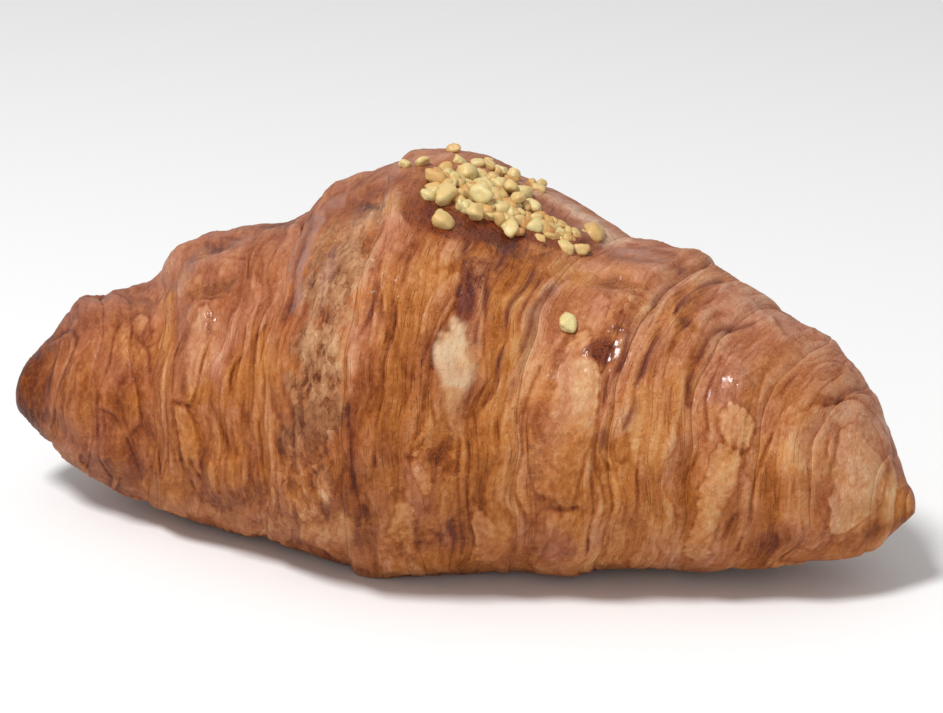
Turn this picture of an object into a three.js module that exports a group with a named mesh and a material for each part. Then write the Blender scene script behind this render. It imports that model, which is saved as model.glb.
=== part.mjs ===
// An almond croissant: one solid of baked, rolled dough, lying on its flat underside.
//
// Millimetres, +Z up. The length runs along X, the side that shows faces -Y, and the origin is
// under the middle of the body, on the surface that it rests on.
//
// The dough was rolled up from a long triangle, so its skin is a row of wraps: each ring lies on
// top of its outer neighbour and ends in a rounded shoulder that faces the nearer tip. The body is
// made as a skin over a grid. One direction of the grid follows the edges of the wraps, from the
// left tip to the right one. The other goes round the section: 0 degrees is underneath, 90 at the
// back, 180 on top and 270 at the front.
import * as THREE from 'three';

// ---- driving dimensions -------------------------------------------------------------------------

// Both tips, measured along X from the highest point of the body. The left arm is longer.
const LEFT_TIP = -78.4;
const RIGHT_TIP = 76.4;

// The section is a rounded oval: 2 would be an ellipse, more is squarer.
const SECTION_POWER = 2.2;

// The middle of the section lies this share of its half height above the surface, or this much
// lower than a section that only touches: that is what presses the flat spot underneath.
const RIDE_HEIGHT = 0.93;

// Half height of the body along X.
const HALF_HEIGHTS = [
  [LEFT_TIP, 0], [-76, 5.4], [-70, 8.2], [-66, 10.7], [-61, 12.9], [-49, 16.9], [-36, 23.8], [-20, 27.8],
  [0, 32.4], [20, 27.0], [36, 24.2], [49, 19.8], [61, 15.8], [67, 11.4], [71, 8.0], [74, 4.0], [RIGHT_TIP, 0],
];

// Half width of the body as a multiple of its half height.
const WIDTH_RATIOS = [
  [LEFT_TIP, 1.2], [-60, 1.2], [-35, 1.06], [-10, 1.2], [15, 1.16], [40, 1.07], [RIGHT_TIP, 1.05],
];

// Both tips curl up from the surface by this much.
const TIP_LIFTS = [
  [LEFT_TIP, 14.2], [-73, 12.0], [-66, 9.8], [-60, 8.0], [-40, 2.0], [-20, 0],
  [20, 0], [40, 2.3], [60, 3.8], [66, 4.6], [71, 7.2], [RIGHT_TIP, 13],
];

// The wraps, from the left tip to the right one: where the outer edge of each lies at the front,
// and how high its shoulder stands over its neighbour on top.
const WRAPS = [
  { edge: -65, shoulder: 0.6 },
  { edge: -57.5, shoulder: 0.6 },
  { edge: -45, shoulder: 1.6 },
  { edge: -21, shoulder: 2.0 },
  { edge: -5.5, shoulder: 2.2 },
  { edge: 20, shoulder: 0.8 },
  { edge: 34, shoulder: 1.4 },
  { edge: 45, shoulder: 0.6 },
  { edge: 55, shoulder: 1.1 },
  { edge: 63, shoulder: 0.6 },
  { edge: 71, shoulder: 0.9 },
];
const SHOULDER_WIDTH = 3.2;      // from the edge of a wrap to the crest of its shoulder
const SHOULDER_FADE = 15;        // from the edge to where the wrap has sunk to its lowest
const FRONT_SHARE = 0.35;        // how much of a shoulder is left at the front and underneath
const VALLEY_DEPTH = 0.3;        // how far the skin between two wraps lies under the smooth body

// The edges don't run straight round the body: on top they drift outwards, away from the middle,
// and underneath they swing to the left.
const TOP_DRIFTS = [
  [LEFT_TIP, 0], [-65, -6.2], [-45, -10], [-21, -6.2], [-5.5, -7.5], [4, 0],
  [20, 5.8], [45, 6.2], [60, 4.8], [69, 2.2], [RIGHT_TIP, 0],
];
const UNDER_DRIFT = -7;
const STRAIGHT_TIP = 16;         // the last stretch before a tip, where that swing dies out

// Where each of these is strongest round the section, and how far it reaches to either side of that.
const LEFT_TOP = { centre: 140, halfWidth: 100 };
const RIGHT_TOP = { centre: 150, halfWidth: 95 };
const UNDERSIDE = { centre: 350, halfWidth: 75 };
const SHOULDER_TOP = { centre: 150, halfWidth: 115 };
const SIDES_MEET = [-10, 14];    // between these the left arm's drift turns into the right arm's

// A shoulder starts to fall at this share of its fade, and at the end this share of it is gone.
const FALL_START = 0.1;
const FALL_SHARE = 0.9;
const FULL_RELIEF = 6;           // half height from which the shoulders have their full height
const THINNEST = 0.02;

// The grid of the skin.
const SECTORS = 46;
const COLUMN_STEP = 2.4;
const SHOULDER_COLUMNS = [-0.7, 0.5, 1.7, 3.4];
const TIP_COLUMNS = [0.35, 1.3, 3];
const CLOSEST_COLUMNS = 0.75;

const CRUST_COLOUR = 0xa96c46;

// ---- small helpers ------------------------------------------------------------------------------

const radians = THREE.MathUtils.degToRad;
const smoothstep = THREE.MathUtils.smoothstep;

// A smooth curve through a table of [x, value] pairs that never overshoots between two of them.
function curveThrough(table) {
  const slopes = [];
  for (let i = 0; i + 1 < table.length; i += 1) {
    slopes.push((table[i + 1][1] - table[i][1]) / (table[i + 1][0] - table[i][0]));
  }
  const tangents = table.map((_, i) => {
    const before = slopes[i - 1];
    const after = slopes[i];
    if (before === undefined) return after;
    if (after === undefined) return before;
    return before * after > 0 ? (2 * before * after) / (before + after) : 0;
  });
  return (x) => {
    let i = 0;
    while (i + 2 < table.length && x > table[i + 1][0]) i += 1;
    const width = table[i + 1][0] - table[i][0];
    const t = Math.min(Math.max((x - table[i][0]) / width, 0), 1);
    const fromLeft = table[i][1] * (1 + 2 * t) + tangents[i] * width * t;
    const fromRight = table[i + 1][1] * (3 - 2 * t) + tangents[i + 1] * width * (t - 1);
    return fromLeft * (1 - t) ** 2 + fromRight * t * t;
  };
}

// 1 at an angle round the section, falling to 0 over a half width on either side of it.
function bump(angle, { centre, halfWidth }) {
  const offset = THREE.MathUtils.euclideanModulo(angle - centre + 180, 360) - 180;
  return Math.abs(offset) < halfWidth ? Math.cos((Math.PI / 2) * (offset / halfWidth)) ** 2 : 0;
}

// How far x is from the tip on its own side.
function tipDistance(x) {
  return Math.max(x < 0 ? x - LEFT_TIP : RIGHT_TIP - x, 0);
}

// A stretched x, so that a curve over it ends round at the tips.
function tipRound(x) {
  const armLength = x < 0 ? -LEFT_TIP : RIGHT_TIP;
  return Math.sign(x) * (Math.sqrt(armLength) - Math.sqrt(tipDistance(x)));
}

// ---- the body -----------------------------------------------------------------------------------

const halfHeightCurve = curveThrough(HALF_HEIGHTS.map(([x, height]) => [tipRound(x), height]));
const widthRatioAt = curveThrough(WIDTH_RATIOS);
const tipLiftAt = curveThrough(TIP_LIFTS);
const topDriftAt = curveThrough(TOP_DRIFTS);

// How far the edge that crosses the front at x lies along X from there, at an angle.
function drift(x, angle) {
  const rightShare = smoothstep(x, ...SIDES_MEET);
  const overTheTop = (1 - rightShare) * bump(angle, LEFT_TOP) + rightShare * bump(angle, RIGHT_TOP);
  const awayFromTip = smoothstep(tipDistance(x), 0, STRAIGHT_TIP);
  return topDriftAt(x) * overTheTop + UNDER_DRIFT * bump(angle, UNDERSIDE) * awayFromTip;
}

// Height of the wraps over the smooth body: the topmost of all that reach this far out.
function wrapRelief(x, angle) {
  const onTop = FRONT_SHARE + (1 - FRONT_SHARE) * bump(angle, SHOULDER_TOP);
  let relief = -VALLEY_DEPTH;
  for (const { edge, shoulder } of WRAPS) {
    const inside = edge < 0 ? x - edge : edge - x;
    if (inside <= 0) continue;
    const rise = Math.sqrt(1 - (1 - Math.min(inside / SHOULDER_WIDTH, 1)) ** 2);
    const fall = 1 - FALL_SHARE * smoothstep(inside / SHOULDER_FADE, FALL_START, 1);
    relief = Math.max(relief, shoulder * onTop * (2 * rise * fall - 1));
  }
  return relief;
}

function skinPoint(x, angle) {
  const halfHeight = halfHeightCurve(tipRound(x));
  const relief = wrapRelief(x, angle) * Math.min(halfHeight / FULL_RELIEF, 1);
  const up = Math.max(halfHeight + relief, THINNEST);
  const out = Math.max(widthRatioAt(x) * halfHeight + relief, THINNEST);
  const sine = Math.sin(radians(angle));
  const cosine = Math.cos(radians(angle));
  const radius = ((Math.abs(sine) / out) ** SECTION_POWER + (Math.abs(cosine) / up) ** SECTION_POWER)
    ** (-1 / SECTION_POWER);
  const middle = RIDE_HEIGHT * halfHeight + tipLiftAt(x);
  return [x + drift(x, angle), radius * sine, Math.max(middle - radius * cosine, 0)];
}

// Columns of the grid: three close to each tip, four over each shoulder, and even ones between.
function gridColumns() {
  const columns = [];
  const add = (x) => {
    const onBody = tipDistance(x) > TIP_COLUMNS[0] / 2;
    if (onBody && columns.every((other) => Math.abs(other - x) > CLOSEST_COLUMNS)) columns.push(x);
  };
  for (const { edge } of WRAPS) {
    for (const offset of SHOULDER_COLUMNS) add(edge - Math.sign(edge) * offset);
  }
  for (const gap of TIP_COLUMNS) {
    add(LEFT_TIP + gap);
    add(RIGHT_TIP - gap);
  }
  for (let x = LEFT_TIP + COLUMN_STEP; x < RIGHT_TIP; x += COLUMN_STEP) add(x);
  return columns.sort((a, b) => a - b);
}

function croissantGeometry() {
  const columns = gridColumns();
  const positions = [];
  for (const x of columns) {
    for (let k = 0; k < SECTORS; k += 1) positions.push(...skinPoint(x, (360 * k) / SECTORS));
  }
  const triangles = [];
  const corner = (column, sector) => column * SECTORS + (sector % SECTORS);
  for (let i = 0; i + 1 < columns.length; i += 1) {
    for (let k = 0; k < SECTORS; k += 1) {
      triangles.push(corner(i, k), corner(i, k + 1), corner(i + 1, k));
      triangles.push(corner(i, k + 1), corner(i + 1, k + 1), corner(i + 1, k));
    }
  }
  // Each tip closes in a fan around one point.
  for (const x of [LEFT_TIP, RIGHT_TIP]) {
    const tip = positions.length / 3;
    positions.push(x, 0, tipLiftAt(x));
    const column = x < 0 ? 0 : columns.length - 1;
    for (let k = 0; k < SECTORS; k += 1) {
      if (x < 0) triangles.push(tip, corner(column, k + 1), corner(column, k));
      else triangles.push(tip, corner(column, k), corner(column, k + 1));
    }
  }
  const geometry = new THREE.BufferGeometry();
  geometry.setAttribute('position', new THREE.Float32BufferAttribute(positions, 3));
  geometry.setIndex(triangles);
  geometry.computeBoundingBox();
  const box = geometry.boundingBox;
  geometry.translate(-(box.min.x + box.max.x) / 2, -(box.min.y + box.max.y) / 2, -box.min.z);
  geometry.computeVertexNormals();
  return geometry;
}

const crust = new THREE.MeshStandardMaterial({ color: CRUST_COLOUR, roughness: 0.5, metalness: 0 });
const croissant = new THREE.Mesh(croissantGeometry(), crust);
croissant.name = 'croissant';

const group = new THREE.Group();
group.add(croissant);

export default group;
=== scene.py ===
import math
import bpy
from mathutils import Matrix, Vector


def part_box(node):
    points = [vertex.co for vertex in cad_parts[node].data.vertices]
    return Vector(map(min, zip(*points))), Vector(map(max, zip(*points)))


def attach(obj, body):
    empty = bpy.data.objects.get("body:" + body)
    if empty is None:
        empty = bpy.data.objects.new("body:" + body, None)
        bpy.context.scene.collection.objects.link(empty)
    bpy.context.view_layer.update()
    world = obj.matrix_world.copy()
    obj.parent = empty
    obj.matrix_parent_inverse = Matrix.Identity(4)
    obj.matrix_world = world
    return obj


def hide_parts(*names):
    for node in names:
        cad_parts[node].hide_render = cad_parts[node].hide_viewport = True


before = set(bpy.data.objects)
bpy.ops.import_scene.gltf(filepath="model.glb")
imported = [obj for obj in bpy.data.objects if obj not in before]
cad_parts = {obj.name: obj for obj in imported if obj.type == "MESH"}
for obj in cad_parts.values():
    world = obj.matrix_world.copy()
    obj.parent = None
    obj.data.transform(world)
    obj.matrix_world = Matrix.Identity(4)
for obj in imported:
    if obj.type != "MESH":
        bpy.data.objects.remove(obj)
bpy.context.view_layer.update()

# %% [markdown]
# # An almond croissant
# A croissant is a long triangle of laminated dough, rolled up from its broad end. What shows after
# baking is a row of wraps. Each wrap lies over its outer neighbour and ends in a rounded shoulder
# that faces the nearer tip. Every wrap is itself a stack of thin layers, whose edges run round the
# body as fine lines and folds. Egg wash browns the skin, and where the skin has torn it stays pale.
#
# The fixed frame holds one plain solid of the whole body. This file lays the real surface over it:
# one mesh for each wrap, with the layers as true relief, and then the chopped almonds.
# Sizes are in millimetres up to the moment when a mesh is made, and in metres from there.

# %% Tools and the frame's box
from types import SimpleNamespace
import bmesh
import bpy
import numpy as np

cad_low, cad_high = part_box("croissant")
MILLIMETRE = 0.001
print("frame box in mm:", [round(1000 * (high - low), 1) for low, high in zip(cad_low, cad_high)])

# %% [markdown]
# ## The body's driving sizes
# The long spindle could be sculpted, but a formula keeps every wrap in step with its neighbours.
# Each table below gives a size at a few places along X, and a smooth curve runs through them. The
# angle round the section is 0 degrees underneath, 90 at the back, 180 on top and 270 in front.

# %% Sizes along the body
LEFT_TIP = -78.4
RIGHT_TIP = 76.4
CREST = 4.0                      # the top wrap's layers fall away to both sides of this x
SECTION_POWER = 2.2              # 2 would be an ellipse, more is squarer
RIDE_HEIGHT = 0.93               # below 1 the section is pressed flat underneath

HALF_HEIGHTS = [
    (LEFT_TIP, 0), (-76, 5.4), (-70, 8.2), (-66, 10.7), (-61, 12.9), (-49, 16.9), (-36, 23.8),
    (-20, 27.8), (0, 32.4), (20, 27.0), (36, 24.2), (49, 19.8), (61, 15.8), (67, 11.4), (71, 8.0),
    (74, 4.0), (RIGHT_TIP, 0),
]
WIDTH_RATIOS = [
    (LEFT_TIP, 1.2), (-60, 1.2), (-35, 1.06), (-10, 1.2), (15, 1.16), (40, 1.07), (RIGHT_TIP, 1.05),
]
TIP_LIFTS = [
    (LEFT_TIP, 14.2), (-73, 12.0), (-66, 9.8), (-60, 8.0), (-40, 2.0), (-20, 0),
    (20, 0), (40, 2.3), (60, 3.8), (66, 4.6), (71, 7.2), (RIGHT_TIP, 13),
]
# how far the edges of the wraps drift outwards on top, and underneath
TOP_DRIFTS = [
    (LEFT_TIP, 0), (-65, -6.2), (-45, -10), (-21, -6.2), (-5.5, -7.5), (4, 0),
    (20, 5.8), (45, 6.2), (60, 4.8), (69, 2.2), (RIGHT_TIP, 0),
]
UNDER_DRIFT = -7
STRAIGHT_TIP = 16                # the last stretch before a tip, where the drift underneath dies out

# the middle and the half width, in degrees, of where each of these is strongest
LEFT_TOP = (140, 100)
RIGHT_TOP = (150, 95)
UNDERSIDE = (350, 75)
SHOULDER_TOP = (150, 115)
CREASE_TOP = (150, 120)


# %% Curves, steps and bumps
def smooth(value, start, end):
    """0 before start and 1 after end, with a soft S between them."""
    share = np.clip((value - start) / (end - start), 0, 1)
    return share * share * (3 - 2 * share)


def bump(angle, centre, half_width):
    """1 at an angle round the section, falling to 0 over a half width on either side."""
    offset = np.abs((angle - centre + 180) % 360 - 180)
    return np.where(offset < half_width, np.cos(np.pi / 2 * offset / half_width) ** 2, 0)


def curve_through(table, stretch=lambda x: x):
    """A smooth curve through (x, value) pairs that never overshoots between two of them."""
    places = np.array([stretch(x) for x, _ in table], float)
    values = np.array([value for _, value in table], float)
    slopes = np.diff(values) / np.diff(places)
    tangents = np.empty(len(values))
    tangents[0], tangents[-1] = slopes[0], slopes[-1]
    before, after = slopes[:-1], slopes[1:]
    same_way = before * after > 0
    total = np.where(same_way, before + after, 1)
    tangents[1:-1] = np.where(same_way, 2 * before * after / total, 0)

    def curve(x):
        x = stretch(np.asarray(x, float))
        i = np.clip(np.searchsorted(places, x, side="right") - 1, 0, len(places) - 2)
        width = places[i + 1] - places[i]
        t = np.clip((x - places[i]) / width, 0, 1)
        from_left = values[i] * (1 + 2 * t) + tangents[i] * width * t
        from_right = values[i + 1] * (3 - 2 * t) + tangents[i + 1] * width * (t - 1)
        return from_left * (1 - t) ** 2 + from_right * t * t

    return curve


def tip_distance(x):
    """How far x is from the tip on its own side."""
    return np.maximum(np.where(x < 0, x - LEFT_TIP, RIGHT_TIP - x), 0)


def tip_round(x):
    """A stretched x, so that a curve over it ends round at the tips."""
    arm = np.where(np.asarray(x) < 0, -LEFT_TIP, RIGHT_TIP)
    return np.sign(x) * (np.sqrt(arm) - np.sqrt(tip_distance(np.asarray(x, float))))


half_height_at = curve_through(HALF_HEIGHTS, tip_round)
width_ratio_at = curve_through(WIDTH_RATIOS)
tip_lift_at = curve_through(TIP_LIFTS)
top_drift_at = curve_through(TOP_DRIFTS)
print("half height in the middle:", round(float(half_height_at(0)), 1), "mm")

# %% [markdown]
# ## From a place on the skin to a point in space
# A place is an x and an angle. The x says which layer of the dough it lies in, and because the
# layers slant over the top, its point in space lies a little further along X or less far.

# %% Places and points
SIDES_MEET = (-10, 14)           # between these the left arm's drift turns into the right arm's
FULL_RELIEF = 6                  # half height from which relief has its full height
THINNEST = 0.02


def drift(x, angle):
    """How far the layer that crosses the front at x lies along X from there, at an angle."""
    right_share = smooth(x, *SIDES_MEET)
    over_the_top = (1 - right_share) * bump(angle, *LEFT_TOP) + right_share * bump(angle, *RIGHT_TOP)
    away_from_tip = smooth(tip_distance(x), 0, STRAIGHT_TIP)
    return top_drift_at(x) * over_the_top + UNDER_DRIFT * bump(angle, *UNDERSIDE) * away_from_tip


def body_point(x, angle, relief):
    """Points of the skin, with the relief in millimetres standing on the smooth body."""
    half_height = half_height_at(x)
    relief = relief * np.minimum(half_height / FULL_RELIEF, 1)
    up = np.maximum(half_height + relief, THINNEST)
    out = np.maximum(width_ratio_at(x) * half_height + relief, THINNEST)
    sine, cosine = np.sin(np.radians(angle)), np.cos(np.radians(angle))
    inverse = (np.abs(sine) / out) ** SECTION_POWER + (np.abs(cosine) / up) ** SECTION_POWER
    radius = inverse ** (-1 / SECTION_POWER)
    middle = RIDE_HEIGHT * half_height + tip_lift_at(x)
    return x + drift(x, angle), radius * sine, np.maximum(middle - radius * cosine, 0)


coarse_grid = np.meshgrid(np.linspace(LEFT_TIP, RIGHT_TIP, 200), np.arange(0, 360, 5), indexing="ij")
coarse_x = body_point(*coarse_grid, 0)[0]
frame_middle = [500 * (low + high) for low, high in zip(cad_low, cad_high)]
SHIFT = np.array([
    frame_middle[0] - (coarse_x.min() + coarse_x.max()) / 2,
    frame_middle[1],
    1000 * cad_low[2],
])
print("this file's millimetres move by", np.round(SHIFT, 2), "to lie in the frame")

# %% [markdown]
# ## Noise that knows the body
# Layers run round the body, so the unevenness of the crust has to follow them. All noise below is
# read in millimetres at (x along the body, y, z), where x is the place of the layer and not the
# point's own X. Noise that is fine in x and long in y and z then makes lines that follow the wraps,
# and it closes on itself all the way round.

# %% Gradient noise
NOISE_SLOPES = 4096
NOISE_GAIN = 1.7                 # so that the noise reaches about 1
CELL_FACTORS = (73856093, 19349663, 83492791)    # odd numbers that scatter the cells over the table
SEED_FACTOR = 2971215073
STIR_FACTOR = 1274126177
slopes_random = np.random.default_rng(7)
noise_table = slopes_random.normal(size=(NOISE_SLOPES, 3)).astype(np.float32)
noise_table /= np.linalg.norm(noise_table, axis=1, keepdims=True)


def noise(x, y, z, seed):
    """Smooth noise of about -1 to 1, with one swing in each unit."""
    point = np.stack(np.broadcast_arrays(x, y, z), -1).astype(np.float32)
    cell = np.floor(point)
    inside = point - cell
    cell = cell.astype(np.int64)
    fade = inside ** 3 * (inside * (inside * 6 - 15) + 10)
    total = np.zeros(point.shape[:-1], np.float32)
    for corner in np.ndindex(2, 2, 2):
        across, along, up = np.moveaxis((cell + np.array(corner)) * np.array(CELL_FACTORS), -1, 0)
        stirred = across ^ along ^ up ^ seed * SEED_FACTOR
        stirred = (stirred ^ (stirred >> 15)) * STIR_FACTOR
        slope = noise_table[(stirred ^ (stirred >> 11)) & (NOISE_SLOPES - 1)]
        reach = inside - np.array(corner, np.float32)
        weight = np.prod(np.where(np.array(corner) == 1, fade, 1 - fade), axis=-1)
        total += weight * np.sum(slope * reach, axis=-1)
    return total * NOISE_GAIN


def noise_round(ring, angle, swings, seed):
    """Noise that changes only round the section, and is another one for each ring number."""
    turn = np.radians(angle)
    return noise(9 * ring, swings * np.sin(turn), swings * np.cos(turn), seed)


noise_line = noise(np.arange(0, 200, 0.25), 0.4, 0.7, 1)
print("noise along a line runs from", *np.round([noise_line.min(), noise_line.max()], 2))


# %% [markdown]
# ## The wraps
# Each wrap has an outer edge, given by the x at which it crosses the front, and the height of its
# shoulder on top of the body. In front the shoulders are much flatter. The nose of a shoulder is an
# arc that starts under the lip, so that the lip really hangs over the crease. Each mesh also runs on
# for a short way under its inner neighbour, so no gap shows.

# %% Wrap table
VALLEY = -0.3                    # the skin between two wraps lies this far from the smooth body
LIP_DROP = 0.35                  # the outermost line of a nose lies this far under that
SHOULDER_FADE = 15               # from the edge to where a wrap has sunk to its lowest
FALL_START = 0.1                 # a shoulder starts to fall at this share of its fade
FALL_SHARE = 0.9                 # and at the end this share of it is gone
FRONT_SHARE = 0.35               # share of a shoulder's height that is left in front
NOSE_START = -30                 # degrees on the nose's arc: 0 is its outermost line, 90 its crest
TUCK = 2.6                       # a wrap's mesh runs on for this far under its neighbour
CREASE_REACH = 1.3               # the dip before an edge dies out over about this many mm

# name, outer edge, inner edge, shoulder height on top, depth of the crease outside the edge
WRAPS = [
    ("left_tip", LEFT_TIP, -65, 0.0, 0.0),
    ("left_fourth", -65, -57.5, 0.9, 0.6),
    ("left_third", -57.5, -45, 0.6, 0.4),
    ("left_second", -45, -21, 1.9, 0.7),
    ("left_first", -21, -5.5, 2.1, 0.6),
    ("middle", -5.5, 20, 2.2, 0.35),
    ("right_first", 34, 20, 1.3, 0.6),
    ("right_second", 45, 34, 0.7, 0.4),
    ("right_third", 55, 45, 1.1, 0.5),
    ("right_fourth", 63, 55, 0.7, 0.4),
    ("right_fifth", 71, 63, 0.9, 0.4),
    ("right_tip", RIGHT_TIP, 71, 0.0, 0.0),
]
# the middle wrap has a second shoulder, on its right
MIDDLE_RIGHT_EDGE = 20
MIDDLE_RIGHT_SHOULDER = 0.55
MIDDLE_RIGHT_CREASE = 0.15
EDGE_CREASES = [(outer, cut) for _, outer, _, _, cut in WRAPS if cut > 0]
EDGE_CREASES.append((MIDDLE_RIGHT_EDGE, MIDDLE_RIGHT_CREASE))


def crest_height(inside, shoulder, angle):
    """Height of a wrap's skin, by distance inside its outer edge, behind the nose."""
    fall = 1 - FALL_SHARE * smooth(inside / SHOULDER_FADE, FALL_START, 1)
    uneven = 0.9 + 0.5 * noise_round(shoulder, angle, 3, 72)
    on_top = FRONT_SHARE + (1 - FRONT_SHARE) * bump(angle, *SHOULDER_TOP)
    return np.maximum(shoulder * on_top * uneven * (2 * fall - 1), VALLEY)


def nose_width(angle):
    return 1.3 + 2.0 * bump(angle, *SHOULDER_TOP)


def crease(x, angle):
    """How far the skin dips on its way to the edge of an inner wrap that lies over it."""
    depth = np.zeros(np.broadcast(x, angle).shape)
    for edge, cut in EDGE_CREASES:
        outside = (edge - x) if edge < CREST else (x - edge)
        uneven = 0.2 + 0.8 * smooth(noise_round(cut, angle, 2.5, 73), -0.3, 0.4)
        near = uneven * np.exp(-np.maximum(outside, 0) / CREASE_REACH)
        depth += np.where(outside > -TUCK, cut * (0.45 + 0.55 * bump(angle, *CREASE_TOP)) * near, 0)
    return -depth


print(len(WRAPS), "wraps, with shoulders up to", max(row[3] for row in WRAPS), "mm high")

# %% [markdown]
# ## Colour along the body
# Baking browns the tips most. The tone of the crust runs from 0, dark caramel, to 1, pale dough. Its
# warmth runs from 0, rosy brown, to 1, orange. A third table says where thin layers show: between
# those places the skin is whole and smooth.

# %% Tone, warmth and layers along the body
TONES = [
    (LEFT_TIP, 0.12), (-71, 0.22), (-64, 0.34), (-57, 0.38), (-50, 0.41), (-46, 0.46), (-43, 0.54),
    (-36, 0.50), (-26, 0.50), (-20, 0.48), (-12, 0.45), (-6, 0.48), (0, 0.53), (15, 0.56), (30, 0.56),
    (38, 0.59), (50, 0.59), (58, 0.57), (66, 0.60), (71, 0.56), (74, 0.48), (RIGHT_TIP, 0.36),
]
WARMTHS = [
    (LEFT_TIP, 0.65), (-64, 0.42), (-57, 0.34), (-50, 0.48), (-46, 0.45), (-43, 0.65), (-36, 0.30),
    (-26, 0.50), (-12, 0.55), (0, 0.60), (15, 0.75), (24, 0.45), (38, 0.75), (50, 0.45), (58, 0.60),
    (66, 0.40), (RIGHT_TIP, 0.60),
]
LAYERED = [
    (LEFT_TIP, 0.12), (-60, 0.10), (-46, 0.12), (-44.5, 0.75), (-41.5, 0.75), (-40, 0.15), (-33, 0.30),
    (-29, 0.75), (-22, 0.75), (-18, 0.45), (-6, 0.45), (-4, 0.85), (20, 0.80), (22, 0.50), (25, 0.30),
    (31, 0.30), (34, 0.90), (45, 0.80), (47, 0.35), (55, 0.35), (57, 0.60), (63, 0.45), (65, 0.15),
    (70, 0.20), (73, 0.60), (RIGHT_TIP, 0.60),
]
tone_at = curve_through(TONES)
warmth_at = curve_through(WARMTHS)
layered_at = curve_through(LAYERED)
print("tone at the tips and in the middle:", [round(float(tone_at(x)), 2) for x in (LEFT_TIP, 0, RIGHT_TIP)])

# %% [markdown]
# ## Places that stand out
# Some marks are particular to this croissant: lumps and dents, torn and pale skin, dark streaks of
# caramel, glaze, folds and cracks. They could be painted, but as lists of places they stay editable.
# Each has an x, an angle and half sizes in mm and degrees. Noise breaks up their outlines, so none
# of them looks like an ellipse.

# %% Lumps and dents
# x, angle, half length in mm, half height in degrees, height in mm
LUMPS = [
    (-65, 335, 2.2, 20, -1.1), (-57, 328, 8, 22, 0.7), (-50, 330, 3, 20, 0.5), (-41, 333, 3, 20, -0.5),
    (-18, 326, 6.5, 20, -1.2), (-9, 326, 5, 20, 0.7), (3, 328, 8, 20, 1.3), (17, 327, 2.5, 18, -0.5),
    (48, 334, 5, 20, 0.6), (66, 332, 3, 20, -0.5), (72, 334, 2, 22, 0.9), (-75, 170, 3, 30, -0.6),
    (-64, 166, 3, 26, 1.1), (-39, 162, 4, 22, 0.6), (-26, 162, 4, 20, -0.9), (-13, 164, 7, 24, 0.9),
    (-2.5, 162, 2.5, 22, -0.9), (1.5, 152, 2.5, 22, 0.6), (6, 147, 2.5, 22, -0.5), (15, 148, 4, 24, -0.3),
    (24, 152, 3, 24, 1.5), (33, 147, 3, 24, 0.6), (40, 150, 4, 24, -1.1), (51, 156, 3, 22, -0.6),
    (55, 150, 2, 22, 0.9), (62, 148, 7, 28, -0.5), (71, 146, 5, 34, -0.6), (-66.5, 189, 1.6, 7, -2.4),
    (-68.5, 204, 2.0, 14, 0.5), (-44, 174, 3.0, 16, 0.9), (-34.5, 187, 3.6, 8, -1.5),
    (-35.5, 201, 4.5, 5, 0.9), (-35.5, 216, 4.0, 5, -1.3), (-37, 228, 3.2, 5, 0.8),
    (-37, 242, 2.4, 10, 0.5), (-31, 243, 3.0, 12, 0.4), (-31.5, 285, 1.8, 9, 0.7),
    (-27.6, 286, 1.8, 7, 0.6), (-36, 277, 2.0, 9, 0.6), (-53.5, 286, 3.4, 14, 0.6),
    (-48.5, 216, 3.0, 12, 0.7), (-50.5, 246, 3.8, 16, 0.6), (-60, 262, 3.0, 26, 0.5),
    (-11, 276, 3.4, 9, 0.8), (-16.5, 274, 2.6, 12, -0.5), (-7.5, 234, 3.4, 16, 0.6),
    (-8.5, 254, 2.8, 10, 0.5), (-6.0, 288, 3.5, 10, 0.6), (-14.5, 292, 3.0, 8, 0.6),
    (10.5, 251, 2.6, 12, 0.45), (7.0, 277, 2.2, 10, 0.7), (10.0, 270, 3.0, 6, -0.4),
    (10.5, 298, 3.4, 10, -0.5), (16.5, 222, 2.4, 18, 0.3), (27, 192, 5.0, 8, 0.8),
    (27.5, 202, 3.6, 3.5, -0.9), (28.5, 211, 3.0, 5, 0.7), (31.6, 231, 1.6, 6, -0.8),
    (32, 218, 1.8, 7, 0.5), (28, 246, 3.6, 12, 0.5), (26, 268, 4.0, 12, 0.5), (26.5, 283, 3.0, 2.5, -0.6),
    (26, 296, 4.5, 10, 0.4), (40, 210, 2.0, 3, -0.5), (44.8, 274, 1.8, 16, -0.9), (50, 222, 2.6, 10, 1.2),
    (50, 240, 3.2, 9, 0.5), (50.5, 266, 3.4, 12, 0.5), (48.5, 298, 3.2, 8, 0.6),
    (51.6, 287, 1.4, 7, -0.7), (57.5, 268, 2.2, 18, -0.3), (60.5, 244, 1.8, 18, 0.5),
    (63.6, 238, 1.3, 14, 0.5), (66, 193, 2.2, 14, 0.9), (68.5, 222, 3.4, 14, 0.6), (69, 252, 3.0, 9, 0.5),
    (66.4, 241, 1.6, 6, -0.5), (48.5, 184, 5.0, 12, 0.7), (73.6, 262, 1.4, 60, 0.4),
]
print(len(LUMPS), "lumps and dents")

# %% Torn pale skin
# small spots: x, angle, half length, half height, tone, share of cream
PATCHES = [
    (7.6, 294, 1.6, 9, 0.60, 0.0), (17.8, 294, 1.8, 14, 0.58, 0.0), (-31.4, 286, 1.2, 12, 0.55, 0.0),
    (-27.8, 286, 1.2, 10, 0.56, 0.0), (-5.8, 297, 2.6, 8, 0.64, 0.1), (-9.0, 284, 2.0, 9, 0.64, 0.1),
    (3.5, 296, 1.4, 12, 0.58, 0.0), (26, 178, 5.5, 9, 0.60, 0.0), (36.0, 262, 1.2, 5, 0.60, 0.0),
    (-42.2, 250, 1.0, 26, 0.64, 0.0), (-49.5, 214, 2.2, 9, 0.58, 0.0), (-62.0, 250, 1.6, 12, 0.52, 0.0),
]
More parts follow.
